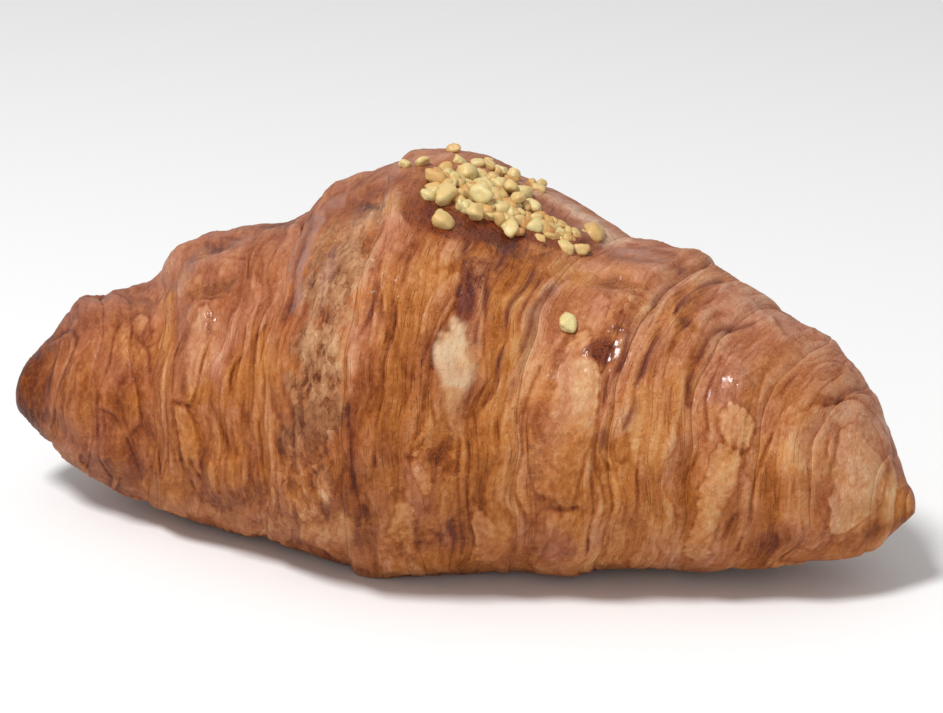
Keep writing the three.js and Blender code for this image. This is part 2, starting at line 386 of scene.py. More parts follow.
# sheets: tone, share of cream, softness of the left and right edge in mm, then rows with an angle
# and the x of the left and the right edge there
SHEETS = [
    (0.90, 0.80, 1.2, 1.2, [
        (236, 10.2, 11.4), (241, 8.6, 12.8), (246, 7.8, 13.5), (250, 8.0, 13.2), (255, 9.4, 12.0),
    ]),
    (0.64, 0.15, 1.6, 1.6, [(246, 8.6, 12.8), (255, 8.3, 12.9), (260, 9.2, 12.2), (267, 10.4, 11.2)]),
    (0.69, 0.05, 2.2, 0.8, [
        (226, 25.6, 27.6), (231, 24.5, 29.5), (236, 24.0, 31.0), (242, 23.5, 31.7), (248, 22.7, 31.9),
        (256, 22.4, 32.1), (262, 23.0, 31.3), (268, 25.0, 29.5),
    ]),
    (0.80, 0.15, 2.2, 0.7, [
        (236, 27.2, 30.0), (241, 26.4, 31.5), (247, 26.6, 31.8), (253, 27.6, 31.4), (257, 28.8, 30.4),
    ]),
    (0.57, 0.02, 0.8, 0.8, [
        (258, 24.8, 31.5), (266, 24.2, 30.3), (272, 24.4, 29.8), (278, 25.0, 29.0), (285, 26.2, 28.2),
    ]),
    (0.52, 0.0, 0.4, 0.8, [(258, 21.8, 24.5), (264, 21.3, 25.2), (272, 21.9, 25.4), (280, 23.2, 25.6)]),
    (0.67, 0.05, 0.9, 0.6, [
        (232, 50.5, 52.5), (236, 49.0, 53.6), (241, 48.3, 54.1), (247, 48.8, 53.9), (251, 50.5, 53.0),
    ]),
    (0.67, 0.06, 0.6, 0.8, [
        (250, 49.6, 52.4), (256, 47.4, 53.0), (262, 47.8, 52.6), (270, 47.0, 52.2), (278, 46.3, 50.9),
        (286, 45.8, 50.2), (296, 45.8, 50.0), (304, 46.0, 51.0), (311, 46.5, 50.0),
    ]),
    (0.75, 0.12, 0.6, 0.8, [
        (198, 66.6, 70.0), (205, 65.4, 72.0), (214, 65.0, 72.4), (226, 65.4, 72.6), (238, 65.0, 72.5),
        (248, 65.4, 72.3), (258, 64.8, 71.9), (268, 65.2, 71.2), (276, 64.8, 69.6), (284, 65.4, 67.6),
    ]),
    (0.62, 0.0, 0.8, 1.2, [(186, 66.8, 70.0), (196, 65.6, 71.2), (204, 66.4, 71.6)]),
    (0.63, 0.05, 2.0, 0.6, [
        (224, -37.4, -34.8), (230, -38.4, -33.9), (235, -39.4, -34.0), (241, -39.4, -34.1),
        (248, -38.6, -34.3), (256, -37.6, -35.0), (261, -36.8, -35.8),
    ]),
    (0.54, 0.0, 0.3, 0.8, [
        (260, -38.6, -36.8), (265, -39.2, -35.6), (272, -38.9, -34.8), (280, -38.0, -34.0),
        (290, -36.0, -33.8),
    ]),
    (0.62, 0.0, 0.25, 0.25, [
        (266, 6.4, 7.0), (270, 5.7, 7.8), (274, 5.5, 8.2), (278, 5.8, 8.1), (284, 6.8, 7.6),
    ]),
    (0.62, 0.0, 0.3, 0.5, [
        (284, 3.6, 4.4), (288, 3.2, 5.4), (294, 3.4, 6.0), (302, 4.2, 6.4), (308, 5.4, 6.0),
    ]),
    (0.60, 0.0, 0.3, 0.5, [(284, 14.0, 15.0), (290, 13.6, 17.0), (300, 13.8, 18.4), (310, 14.6, 18.0)]),
]
# places with flat flakes at several heights: x, angle, half length, half height, strength
TORN = [
    (-10.5, 230, 6.5, 16, 1.0), (-10.5, 250, 5.5, 12, 1.0), (-10, 264, 5, 8, 0.8),
    (-13.5, 282, 6.5, 20, 0.8), (-11, 214, 5.5, 10, 0.7), (-6.5, 206, 2.6, 7, 0.8),
    (9.5, 222, 2.4, 9, 0.7), (30.5, 212, 3.6, 10, 0.7), (9.0, 272, 3.4, 9, 0.6), (51, 250, 4.0, 4, 0.5),
    (-25, 300, 8, 10, 0.5), (4, 300, 6, 10, 0.5),
]
print(len(PATCHES), "pale spots,", len(SHEETS), "pale sheets,", len(TORN), "flaky places")

# %% Stains, gloss and glaze
# x, angle, half length, half height, added tone, then added warmth and plum if there is any
STAINS = [
    (-75, 262, 5, 70, -0.05, 0.1), (-68.8, 222, 2.2, 20, 0.08, 0.1),
    (-66.5, 189, 1.8, 8, -0.25, 0.0, 0.1), (-60, 176, 7, 14, 0.0, -0.5, 0.25),
    (-60, 288, 4, 20, 0.05, -0.4), (-58.4, 262, 1.3, 40, -0.06, 0.3), (-52, 244, 3.4, 12, -0.03, -0.3),
    (-50, 258, 4, 9, -0.03, 0.5), (-48.5, 216, 3.4, 12, 0.02, -0.4), (-34.5, 187, 3.6, 7, -0.06, 0.6),
    (-35.5, 216.5, 4.0, 4.5, -0.10, 0.7), (-36, 205, 6, 7, 0.0, -0.6, 0.25),
    (-41, 215, 1.6, 26, -0.03, -0.4, 0.25), (-31, 243, 3.2, 14, 0.02, -0.4),
    (-33.0, 258, 3.4, 5, -0.10, 0.9), (-26, 262, 4, 26, 0.03, 0.4), (-30.0, 299, 5, 8, -0.08, -0.2, 0.1),
    (-18.6, 217, 1.2, 22, -0.07, -0.6, 0.45), (-14.5, 226, 1.2, 20, -0.03, -0.3, 0.2),
    (-11, 268, 2.6, 6, -0.10, -0.2, 0.2), (-17.2, 272, 2.2, 10, -0.08, 0.0, 0.1),
    (-6.8, 206, 2.4, 6, -0.20, 0.1), (-9.0, 203, 2.2, 5, -0.17, 0.0, 0.1),
    (-3.6, 276, 1.6, 20, -0.10, 0.1, 0.1), (4, 262, 4, 12, -0.04, 0.5), (9.6, 272, 2.0, 5, -0.05, 0.1),
    (10.5, 262, 3, 8, 0.07), (10.6, 298, 2.0, 7, -0.06, -0.6, 0.2), (10.3, 231, 1.5, 7, -0.26, -0.6, 1.0),
    (10.5, 222, 2.6, 9, -0.05, 0.1), (17, 270, 3.4, 18, -0.03, 0.7), (19.4, 282, 1.6, 6, -0.06, 0.6),
    (15, 236, 3, 26, 0.02, 0.2), (9, 207, 8, 4, -0.08, 0.4), (0, 209, 7, 4, -0.07, 0.5),
    (27.5, 202, 3.8, 3, -0.10, 0.9), (31.6, 231, 1.6, 5, -0.16, 0.5, 0.1),
    (32, 218, 1.8, 6, -0.17, -0.2, 0.4), (26, 177, 6, 9, 0.02, -0.6, 0.15),
    (40, 210, 2.0, 3.0, -0.10, 0.8), (39.5, 250, 4, 24, 0.03, 0.4), (38.5, 282, 5, 14, -0.06, 0.4),
    (45, 276, 2.4, 12, -0.08, 0.3), (47.5, 222, 4, 14, -0.02, -0.5, 0.1),
    (57.5, 267, 2.2, 14, -0.05, 0.6), (59, 292, 6, 10, -0.05, -0.5), (66, 198, 3.4, 7, -0.02, -0.6, 0.2),
    (66.5, 241, 1.8, 6, -0.06, 0.4), (56, 184, 6, 10, 0.03, 0.1), (26, 298, 5, 9, -0.04, -0.5),
    (0, 308, 60, 14, 0.04), (74, 250, 3, 60, -0.01, 0.2), (-2, 193, 5, 9, -0.10, 0.1, 0.1),
    (13, 195, 6, 8, -0.04, 0.2), (13, 180, 9, 9, -0.04, -0.4, 0.3), (69.5, 268, 3, 16, 0.06, 0.1),
    (-36, 278, 5, 18, -0.10, 0.2), (-11, 264, 8, 16, -0.03, 0.1), (70.5, 276, 3, 16, -0.10),
    (8, 208, 10, 5, -0.20, 0.8), (18, 203, 6, 6, -0.15, 0.5), (-5, 198, 4, 7, -0.16, 0.1),
    (-2.5, 262, 1.8, 26, -0.16, 0.1, 0.1), (22, 268, 12, 16, -0.05, 0.2), (-60, 300, 14, 14, 0.05),
    (-20, 300, 16, 12, 0.04, 0.1), (20, 175, 6, 12, 0.27), (20.5, 205, 4, 10, 0.18, 0.1),
    (13, 166, 7, 9, 0.22), (-10.7, 299, 6, 11, 0.22, 0.1), (6, 298, 5, 9, 0.07), (-62, 308, 5, 14, 0.11),
    # the pale stain at x 74.5, angle 240 is painted light on the right tip's upper side, and the dark one at
    # x 71.5, angle 294 painted shade below it
    (74.5, 240, 4, 50, 0.20), (71.5, 294, 5, 14, -0.14), (38, 256, 4, 12, 0.10, 0.1),
    (35, 182, 5, 14, 0.17), (30, 218, 3, 6, -0.05), (44.7, 183, 4, 10, 0.10), (66.5, 202, 4, 14, 0.20),
    (70, 287, 4, 10, -0.08), (68, 152, 5, 20, 0.10), (20, 235, 3.4, 15, 0.20, 0.2),
    (15, 242, 3, 16, 0.10, 0.1), (1, 241, 2.5, 12, 0.08, 0.1), (-42, 209, 4, 12, 0.06),
    (-34.5, 227, 4, 8, 0.07), (-26, 240, 4, 12, 0.06, 0.1), (-25, 277, 5, 12, 0.03, 0.1),
    (-34.5, 246, 3, 9, 0.09), (-42, 240, 2.5, 14, 0.06), (-13.7, 285, 4, 10, 0.08),
    (39, 292, 4, 10, 0.08, 0.1), (7, 214, 5, 5, -0.04), (-60, 240, 8, 30, 0.02),
    (4.5, 229, 2.4, 13, 0.16, 0.1), (10.3, 265, 2.6, 6, 0.06), (-34.5, 243, 4, 10, 0.14),
    (-42.5, 199, 4, 8, -0.08), (-39, 252, 3, 10, 0.06), (-2.6, 208, 2.6, 7, 0.18, 0.1),
    (-4.5, 278, 3, 14, -0.08), (0, 262, 3, 14, -0.07, 0.1), (-34, 180, 5, 8, -0.11),
    # the darker stains at x 9, angle 182 and x 17, angle 188 lie in the heap of nuts: partly glaze, partly
    # painted shade between the pieces
    (-13, 262, 6, 14, -0.13), (32.5, 277, 2.0, 9, -0.11, 0.1), (9, 182, 9, 9, -0.14, 0.2),
    (59, 240, 3, 18, 0.05), (-61, 290, 8, 20, 0.03), (-34.5, 236, 3, 7, 0.05),
    (-32, 222, 15, 22, 0.0, -0.30), (-1, 222, 4, 16, 0.0, -0.35), (17, 188, 5, 10, -0.05, 0.1),
]
# glossy egg wash: x, angle, half length, half height, strength
GLOSSY = [
    (9, 207, 9, 5, 1.0), (22.6, 268, 1.4, 10, 0.8), (-2, 206, 5, 6, 0.4), (17, 199, 5, 5, 0.8),
    (10.4, 223, 2.4, 8, 1.0), (-36, 231, 3.5, 5, 0.9), (-34.5, 187, 4, 7, 1.0), (-35.5, 216, 4, 5, 1.0),
    (27.5, 203, 4.5, 5, 1.0), (31.5, 231, 2.0, 8, 1.0), (49.8, 222, 3.0, 6, 1.0), (50, 232, 2.4, 5, 0.8),
    (-18.8, 214, 2.0, 18, 0.8), (-7, 206, 4, 6, 0.5), (40, 210, 2, 4, 0.9), (33.5, 205, 2, 14, 0.5),
    (44.5, 208, 3, 12, 0.4), (26, 180, 6, 9, 0.5), (-40, 210, 2.5, 26, 0.6),
]
# dusky, greyish pink places, partly painted sheen: the same
DUSKY_AND_SHEEN = [
    (-17.2, 212, 1.2, 24, 1.0), (-15, 190, 2.5, 9, 0.8), (10, 163, 8, 7, 0.9), (-4, 184, 2.5, 12, 0.8),
    (1.5, 155, 5, 6, 0.6), (24, 178, 5, 6, 0.8), (-12, 226, 1.5, 12, 0.5), (-58, 176, 6, 9, 0.6),
    (-36, 200, 5, 5, 0.5),
]
# spots of glaze: the same
GLAZED = [
    (30.3, 230, 2.2, 5, 0.9), (10.4, 222, 2.2, 6, 0.5), (0, 198, 4, 9, 0.3), (27.5, 203, 3.8, 3.2, 0.6),
    (-6.5, 206, 2.8, 5, 0.6), (31.5, 220, 1.6, 5, 0.5), (23, 209, 1.2, 3, 0.3),
]
# the lower border of the glaze under the nuts: x, angle
GLAZE_BORDER = [
    (-5, 208), (-3, 212), (0.3, 216), (4.7, 217), (8.2, 214), (11.2, 208), (13.8, 202), (16.8, 198),
    (20, 193),
]
print(len(STAINS), "stains,", len(GLOSSY), "glossy places,", len(DUSKY_AND_SHEEN), "dusky ones")

# %% Folds, cracks and streaks, as lines over the skin
# half width in mm, depth in mm, darkness (caramel, and painted shade in the groove), plum, lip (a raised
# edge, painted paler as painted light; its sign is the side), then the line's points: x, angle
CREASES = [
    (0.45, 0.35, 0.16, 0.4, -0.3, [
        (-67, 196), (-64, 208), (-63, 220), (-63.5, 236), (-64, 251), (-65, 267), (-66.5, 290),
    ]),
    (0.40, 0.20, 0.06, 0.0, 0.35, [(-63.5, 238), (-61, 235), (-59, 229)]),
    (0.45, 0.35, 0.16, 0.0, 0.5, [
        (-54, 212), (-55, 226), (-55, 244), (-56, 262), (-56.5, 276), (-55.5, 292), (-53, 308),
    ]),
    (0.35, 0.30, 0.16, 0.0, -0.3, [
        (-52, 224), (-50, 225), (-48, 230), (-46.5, 238), (-45.5, 250), (-45, 268), (-44, 282),
        (-42, 293),
    ]),
    (0.45, 0.35, 0.14, 0.0, 0.4, [(-55.5, 265), (-53.5, 266), (-51.5, 273), (-49.5, 284), (-47, 300)]),
    (0.40, 0.30, 0.12, 0.0, 0.3, [(-51.5, 266), (-50, 274), (-48.5, 286), (-46.5, 294)]),
    (0.45, 0.40, 0.16, 0.0, -0.3, [
        (-40.5, 236), (-40, 250), (-39.5, 266), (-38.5, 279), (-36.5, 292), (-34, 303),
    ]),
    (0.45, 0.35, 0.14, 0.0, 0.2, [(-39, 268), (-37, 277), (-35.5, 285), (-33, 296)]),
    (0.55, 0.50, 0.18, 0.1, 0.2, [(-39.5, 260), (-38, 262), (-36, 263)]),
    (0.40, 0.25, 0.10, 0.1, 0.2, [(-44, 204), (-44.5, 220), (-45.5, 229), (-48, 231)]),
    (0.50, 0.45, 0.12, 0.2, 0.3, [(-39, 197), (-36, 199), (-33, 204), (-29.5, 205)]),
    (0.50, 0.30, 0.08, 0.2, -0.2, [(-37.5, 174), (-34, 178), (-31, 187)]),
    (0.45, 0.35, 0.16, 0.2, 0.2, [(-39, 220), (-37, 220), (-34, 221), (-31.5, 222)]),
    (0.35, 0.35, 0.10, 0.0, -0.35, [(-35, 229), (-34.5, 240), (-34.5, 250)]),
    (0.55, 0.35, 0.14, 0.5, 0.0, [(-14, 208), (-14.5, 218), (-14.5, 230)]),
    (0.40, 0.35, 0.28, 0.1, 0.3, [(2, 224), (1.5, 241), (1, 256), (0.8, 268), (0.5, 276)]),
    (0.45, 0.30, 0.20, 0.1, 0.2, [(-1.5, 236), (-2.5, 242), (-4.5, 250), (-5, 258)]),
    (0.80, 0.50, 0.22, 0.1, 0.0, [(-4.5, 262), (-3.8, 272), (-3, 282), (-1.5, 292)]),
    (0.40, 0.30, 0.12, 0.0, 0.4, [(-21.5, 256), (-21, 268), (-20, 280), (-18.5, 292)]),
    (0.40, 0.30, 0.12, 0.0, 0.3, [(-14.5, 262), (-14, 276), (-13.5, 284), (-12, 292)]),
    (0.25, 0.25, 0.26, 0.1, 0.2, [(8, 232), (7, 245), (6.2, 252), (6.5, 262)]),
    (0.28, 0.25, 0.26, 0.2, -0.2, [(8.8, 236), (7.6, 246), (7.6, 254), (8.2, 264)]),
    (0.45, 0.45, 0.26, 0.1, -0.3, [(22, 240), (21, 250), (20.5, 264), (20.2, 278), (21.5, 287)]),
    (0.40, 0.40, 0.20, 0.2, 0.3, [(32.5, 238), (32.5, 252), (32, 266), (31.6, 280), (31.5, 304)]),
    (0.60, 0.55, 0.24, 0.0, 0.3, [(24, 279), (26, 283), (29, 282)]),
    (0.50, 0.45, 0.24, 0.7, 0.0, [
        (32.5, 178), (33.5, 190), (33.8, 202), (34.2, 214), (33.2, 222), (33.6, 234), (33, 247),
        (33.4, 262),
    ]),
    (0.50, 0.45, 0.24, 0.7, 0.0, [
        (38.5, 174), (37.2, 189), (37.5, 205), (37.1, 216), (37.2, 232), (36.6, 246), (35.4, 256),
    ]),
    (0.35, 0.30, 0.16, 0.3, 0.3, [(41.5, 196), (40.5, 206), (39.5, 214), (38.8, 224)]),
    (0.45, 0.40, 0.24, 0.6, 0.2, [
        (47, 182), (45.5, 196), (44.2, 206), (43.8, 218), (43.6, 230), (44, 240),
    ]),
    (0.55, 0.45, 0.22, 0.7, 0.0, [(47.5, 180), (49.5, 184), (52.5, 188), (55, 192)]),
    (0.35, 0.35, 0.22, 0.1, 0.3, [(47.5, 211), (46.6, 222), (46.8, 238), (47.4, 248)]),
    (0.35, 0.30, 0.16, 0.1, 0.2, [(53, 197), (53, 214), (53.6, 230), (54, 242)]),
    (0.90, 0.50, 0.24, 0.0, 0.0, [(46.4, 250), (45.4, 264), (44.2, 276), (43.4, 288)]),
    (0.35, 0.40, 0.20, 0.0, 0.4, [(56.6, 238), (55.6, 250), (55, 264), (54.5, 280), (54, 302)]),
    (0.40, 0.30, 0.18, 0.0, 0.2, [(34.5, 256), (34, 276), (34, 294), (34.5, 312)]),
    (0.60, 0.50, 0.22, 0.1, 0.2, [(51.4, 294), (51.6, 287), (52.2, 281)]),
    (0.40, 0.35, 0.18, 0.1, 0.2, [(52, 186), (54, 184), (55.5, 172), (57, 160)]),
    (0.35, 0.30, 0.16, 0.0, 0.3, [(56.5, 220), (56, 204), (57, 192), (58.5, 176), (61, 168)]),
    (0.50, 0.70, 0.22, 0.2, 0.0, [(62, 208), (63, 196), (64.5, 184), (66.5, 174), (69, 168)]),
    (0.35, 0.35, 0.18, 0.2, -0.3, [(71.5, 190), (72, 206), (71.8, 226), (71.5, 254), (71.5, 280)]),
    (0.30, 0.25, 0.12, 0.0, 0.3, [(61.5, 206), (62.5, 216), (64, 224), (64.5, 236)]),
    (0.30, 0.25, 0.12, 0.0, 0.2, [(63, 222), (62.5, 244), (63, 276)]),
    (0.30, 0.25, 0.14, 0.0, 0.2, [(58.5, 217), (57.2, 230), (56.4, 244), (55.5, 258)]),
    (0.22, 0.30, 0.34, 0.8, 0.0, [(4.6, 212), (5.2, 218), (5.6, 228)]),
    (0.50, 0.40, 0.36, 0.8, 0.0, [(7, 206), (7.6, 214), (8.6, 222), (9.0, 230)]),
    (0.40, 0.30, 0.22, 0.7, 0.0, [(11.6, 204), (12.6, 212), (12.4, 222), (13.2, 240)]),
    (0.20, 0.25, 0.24, 0.7, 0.0, [(13.8, 201), (14.9, 210), (15.0, 218), (14.6, 224)]),
    (0.34, 0.30, 0.26, 0.7, 0.0, [(16.2, 203), (16.6, 214), (16.2, 226), (16.4, 238), (15.4, 256)]),
    (0.18, 0.20, 0.18, 0.6, 0.0, [(17.8, 212), (18.0, 222), (17.4, 232)]),
    (0.42, 0.30, 0.20, 0.7, 0.0, [(20.2, 205), (19.6, 216), (19.2, 230), (18.6, 246)]),
    (0.30, 0.25, 0.16, 0.0, 0.3, [(13, 262), (13, 282), (13.5, 310)]),
    (0.30, 0.25, 0.14, 0.0, -0.3, [(11.8, 266), (11.6, 286), (12, 306)]),
    (0.35, 0.30, 0.16, 0.0, 0.2, [(43, 226), (41.8, 240), (41.4, 254)]),
    (0.30, 0.20, 0.12, 0.0, 0.2, [(38.2, 262), (37.8, 278), (38, 298)]),
    (0.30, 0.20, 0.12, 0.0, 0.2, [(41, 270), (40.6, 286), (41, 306)]),
    (0.30, 0.25, 0.14, 0.0, 0.2, [(-27, 236), (-27.2, 252), (-26.6, 270), (-25.4, 288)]),
    (0.30, 0.25, 0.12, 0.0, 0.2, [(-24, 232), (-24.2, 250), (-24, 268), (-22.6, 288)]),
    (0.30, 0.25, 0.12, 0.0, 0.2, [(-29.6, 250), (-29.4, 264), (-28.4, 280)]),
]
print(len(CREASES), "creases")

# %% [markdown]
# ## Reading those lists
# Each function below turns one kind of mark into a number for every point of a grid.

# %% Round places and sheets
# a mark of each kind fades out from the first to the second share of its size
FADES = {
    "pale": (0.45, 1.25), "torn": (0.65, 1.2), "stain": (0.3, 1.35), "gloss": (0.5, 1.3),
    "dusky": (0.3, 1.3), "glaze": (0.6, 1.2),
}


def away_from(x, angle, place, warp):
    """How far a point lies from the middle of a place: 1 on its outline, which the warp breaks up."""
    centre_x, centre_angle, half_x, half_angle = place[:4]
    turn = (angle - centre_angle + 180) % 360 - 180
    return np.sqrt(((x - centre_x) / half_x) ** 2 + (turn / half_angle) ** 2) + warp


def at_place(x, angle, place, warp, kind):
    """1 in the middle of a place, falling to 0 outside it."""
    return 1 - smooth(away_from(x, angle, place, warp), *FADES[kind])


def strongest(x, angle, places, warp, kind):
    """The greatest strength of all the places at each point."""
    most = np.zeros(x.shape)
    for place in places:
        most = np.maximum(most, place[4] * at_place(x, angle, place, warp, kind))
    return most


def in_sheet(x, angle, edges, warp):
    """1 inside a sheet of skin and 0 outside, with ragged edges."""
    soft_left, soft_right, rows = edges
    turns, left, right = np.array(rows).T
    turned_angle = angle + 5 * warp
    from_left = (x - np.interp(turned_angle, turns, left) + 1.1 * warp) / soft_left
    from_right = (np.interp(turned_angle, turns, right) - x + 1.1 * warp) / soft_right
    from_ends = np.minimum(turned_angle - turns[0], turns[-1] - turned_angle) / 2
    return smooth(np.minimum(np.minimum(from_left, from_right), from_ends), -0.5, 0.9)


def pale_skin(x, angle, ragged):
    """Where the skin is torn and pale, its tone there, its cream, and the rim of its sheets."""
    spots = [(*place[4:], at_place(x, angle, place, ragged, "pale")) for place in PATCHES]
    sheets = [(tone, share, in_sheet(x, angle, edges, ragged)) for tone, share, *edges in SHEETS]
    pale, tone, cream, rim = (np.zeros(x.shape) for _ in range(4))
    for own_tone, share, here in spots + sheets:
        pale = np.maximum(pale, here)
        tone = np.where(here > 0.01, here * own_tone + (1 - here) * tone, tone)
        cream = np.maximum(cream, share * here)
    for _, _, here in sheets:
        rim = np.maximum(rim, 4 * here * (1 - here))
    return pale, tone, cream, rim


def stains(x, angle, soft):
    """The tone, warmth and plum that all stains add."""
    tone, warmth, plum = (np.zeros(x.shape) for _ in range(3))
    for place in STAINS:
        here = at_place(x, angle, place, soft, "stain")
        own_tone, own_warmth, own_plum = (*place[4:], 0, 0)[:3]
        tone += own_tone * here
        warmth += own_warmth * here
        plum = np.maximum(plum, own_plum * here)
    return tone, warmth, plum


outline = at_place(np.array(LUMPS[0][0] + LUMPS[0][2]), LUMPS[0][1], LUMPS[0], 0, "pale")
print("strength of a pale spot on its outline:", round(float(outline), 2))

# %% Lines over the skin
def line_distance(x, angle, points, section_x):
    """Signed distance in mm from a smooth line over the skin, positive on the side of larger x."""
    steps = np.arange(len(points))
    dense = np.linspace(0, len(points) - 1, 6 * (len(points) - 1) + 1)
    line_x = curve_through(list(zip(steps, [p[0] for p in points])))(dense)
    line_angle = curve_through(list(zip(steps, [p[1] for p in points])))(dense)
    mm_per_degree = np.radians(1) * np.maximum(half_height_at(section_x) * 1.08, 1)
    best = np.full(x.shape, 1e9)
    signed = np.full(x.shape, 1e9)
    for i in range(len(dense) - 1):
        along_x = line_x[i + 1] - line_x[i]
        along_y = (line_angle[i + 1] - line_angle[i]) * mm_per_degree
        from_start_x = x - line_x[i]
        from_start_y = (angle - line_angle[i]) * mm_per_degree
        share = (from_start_x * along_x + from_start_y * along_y) / (along_x ** 2 + along_y ** 2)
        share = np.clip(share, 0, 1)
        apart = np.hypot(from_start_x - share * along_x, from_start_y - share * along_y)
        side = np.sign(from_start_x * along_y - from_start_y * along_x)
        nearer = apart < best
        signed = np.where(nearer, apart * side, signed)
        best = np.where(nearer, apart, best)
    return signed


def draw_creases(x, angle, warp_x, warp_angle, fade):
    """Relief, tone and plum of all creases."""
    relief, tone, plum = (np.zeros(x.shape) for _ in range(3))
    for half_width, depth, dark, purple, lip, points in CREASES:
        xs = [p[0] for p in points]
        turns = [p[1] for p in points]
        reach = 5 * half_width + 1.2
        turn_reach = reach * 6
        near = (x > min(xs) - reach) & (x < max(xs) + reach)
        near &= (angle > min(turns) - turn_reach) & (angle < max(turns) + turn_reach)
        if not near.any():
            continue
        moved_x = x[near] + warp_x[near]
        signed = line_distance(moved_x, angle[near] + warp_angle[near], points, x[near])
        strength = 0.30 + 0.70 * fade[near]
        groove = np.exp(-(signed / (0.62 * half_width)) ** 2) * strength
        stain = np.exp(-(signed / (1.6 * half_width)) ** 2) * strength
        edge = np.exp(-((signed - np.sign(lip) * 1.9 * half_width) / (1.1 * half_width)) ** 2) * abs(lip)
        relief[near] += 0.30 * edge * strength - 0.50 * depth * groove
        # the lip is painted paler, as painted light, and the groove darker, as painted shade; the wider
        # stain round it is caramel
        tone[near] += 0.12 * edge * strength - dark * (0.45 * groove + 0.22 * stain)
        plum[near] = np.maximum(plum[near], purple * stain)
    return relief, tone, plum


POOL_REACH = (5, 10)             # mm above its border in which the pool of glaze thins out
POOL_LEFT = (-6, 3)              # x between which it sets in, and between which it ends
POOL_RIGHT = (17, 23)
LOWEST_GLAZE = 222               # the spots of glaze lower down than this angle are single ones


def glaze_at(x, angle, ragged, soft):
    """Glaze: a pool round the nuts that ends at its border below them, and single spots."""
    pool = np.zeros(x.shape)
    near = (x > POOL_LEFT[0] - 3) & (x < POOL_RIGHT[1] + 1) & (angle > 165) & (angle < 225)
    if near.any():
        above = line_distance(x[near], angle[near] + 2.5 * ragged[near], GLAZE_BORDER, x[near])
        thin = smooth(above, *POOL_REACH)
        pool[near] = smooth(above, -0.4, 1.0) * (1 - thin) * (0.85 + 0.5 * soft[near])
    glaze = np.maximum(pool, strongest(x, angle, GLAZED, ragged, "glaze"))
    ended = smooth(x, *POOL_RIGHT) * (angle < LOWEST_GLAZE)
    return np.clip(glaze * smooth(x, *POOL_LEFT) * (1 - ended), 0, 1)


# %% [markdown]
# ## Layers, folds, torn sheets and blisters
# A layer's edge faces outwards, like roof tiles laid from the tips to the middle: its height rises
# towards the outer edge and then drops to the next layer. The drop is painted dark, as caramel that collects
# there and as painted shade under the edge.
# Whole sheets fold over each other too. A long noise that is pushed to its two extremes gives flat
# sheets with crisp flowing edges. Where the skin has torn, sheets of different heights show, which
# a noise cut into flat terraces gives. Whole skin is smooth, with small blisters.

# %% Relief functions
def layer_edges(x, y, z, pitch, seed):
    """Heights 0 to 1 of thin layers, the dark foot outside each edge, and each layer's own tone."""
    wander = 0.9 * noise(x / 6.0, y / 16, z / 16, seed) + 0.4 * noise(x / 2, y / 5, z / 5, seed + 1)
    outward = np.abs(x - CREST) + pitch * wander
    outward = outward + 0.8 * pitch * noise(x / (2.4 * pitch), y / 40, z / 40, seed + 2)
    layer = np.floor(outward / pitch)
    share = outward / pitch - layer
    own = np.clip(0.5 + 1.5 * noise(layer * 3.73, y / 14, z / 14, seed + 3), 0, 1)
    covering = np.clip(0.5 + 1.5 * noise((layer - 1) * 3.73, y / 14, z / 14, seed + 3), 0, 1)
    height = own * share * (1 - smooth(share, 0.82, 1))
    # the foot darkens more the higher the covering layer stands: caramel and painted shade under its edge
    foot = covering ** 2 * np.exp(-(share * pitch / 0.22) ** 2)
    tone = noise(layer * 5.19, y / 8, z / 8, seed + 4)
    return height, foot, tone


def folds(x, y, z, pitch, seed):
    """-1 or 1 on each sheet of a stack, with crisp edges that run round the body, and their dark foot."""
    swirl = 0.9 * noise(x / 8, y / 14, z / 14, seed + 1) + 0.16 * noise(x / 2.5, y / 6, z / 6, seed + 2)
    field = noise((x + pitch * swirl) / pitch, y / 32, z / 32, seed)
    field = field + 0.08 * noise(x / 0.8, y / 4, z / 4, seed + 3)
    softness = 0.34 / pitch
    strength = 0.3 + 0.7 * smooth(noise(x / 4, y / 9, z / 9, seed + 4), -0.35, 0.25)
    step = np.tanh(field / softness) * strength
    foot = np.exp(-((field + 1.3 * softness) / (0.8 * softness)) ** 2) * strength
    return step, foot


def torn_sheets(x, y, z, seed):
    """Heights 0 to 1 in flat terraces with ragged borders, and the tone of each terrace."""
    field = 1.5 * noise(x / 3.4, y / 5.0, z / 5.0, seed) + 0.9 * noise(x / 1.5, y / 2.2, z / 2.2, seed + 1)
    field = field + 0.4 * noise(x / 0.6, y / 0.9, z / 0.9, seed + 2)
    level = np.floor(field * 2.2)
    share = field * 2.2 - level
    height = (level + smooth(share, 0.6, 1.0)) / 5
    # higher terraces are painted paler, as painted light
    tone = 0.45 * noise(level * 4.1 + x / 5, y / 5, z / 5, seed + 3) + 0.40 * height
    return height, tone


def blur(field, columns, rows):
    """A box blur over the grid, closed round the body and mirrored at the ends."""
    padded = np.concatenate([field[:, -rows:], field, field[:, :rows]], 1)
    total = np.cumsum(np.concatenate([np.zeros((len(field), 1)), padded], 1), 1)
    field = (total[:, 2 * rows + 1:] - total[:, :-2 * rows - 1]) / (2 * rows + 1)
    padded = np.concatenate([field[columns:0:-1], field, field[-2:-columns - 2:-1]], 0)
    total = np.cumsum(np.concatenate([np.zeros((1, field.shape[1])), padded], 0), 0)
    return (total[2 * columns + 1:] - total[:-2 * columns - 1]) / (2 * columns + 1)


# %% [markdown]
# ## The skin at one place
# Relief and colour come from the same layers, folds and marks, so they are read once and used for
# both: a raised edge is also painted paler, as painted light, and a deep foot is also painted darker, as
# caramel and painted shade.

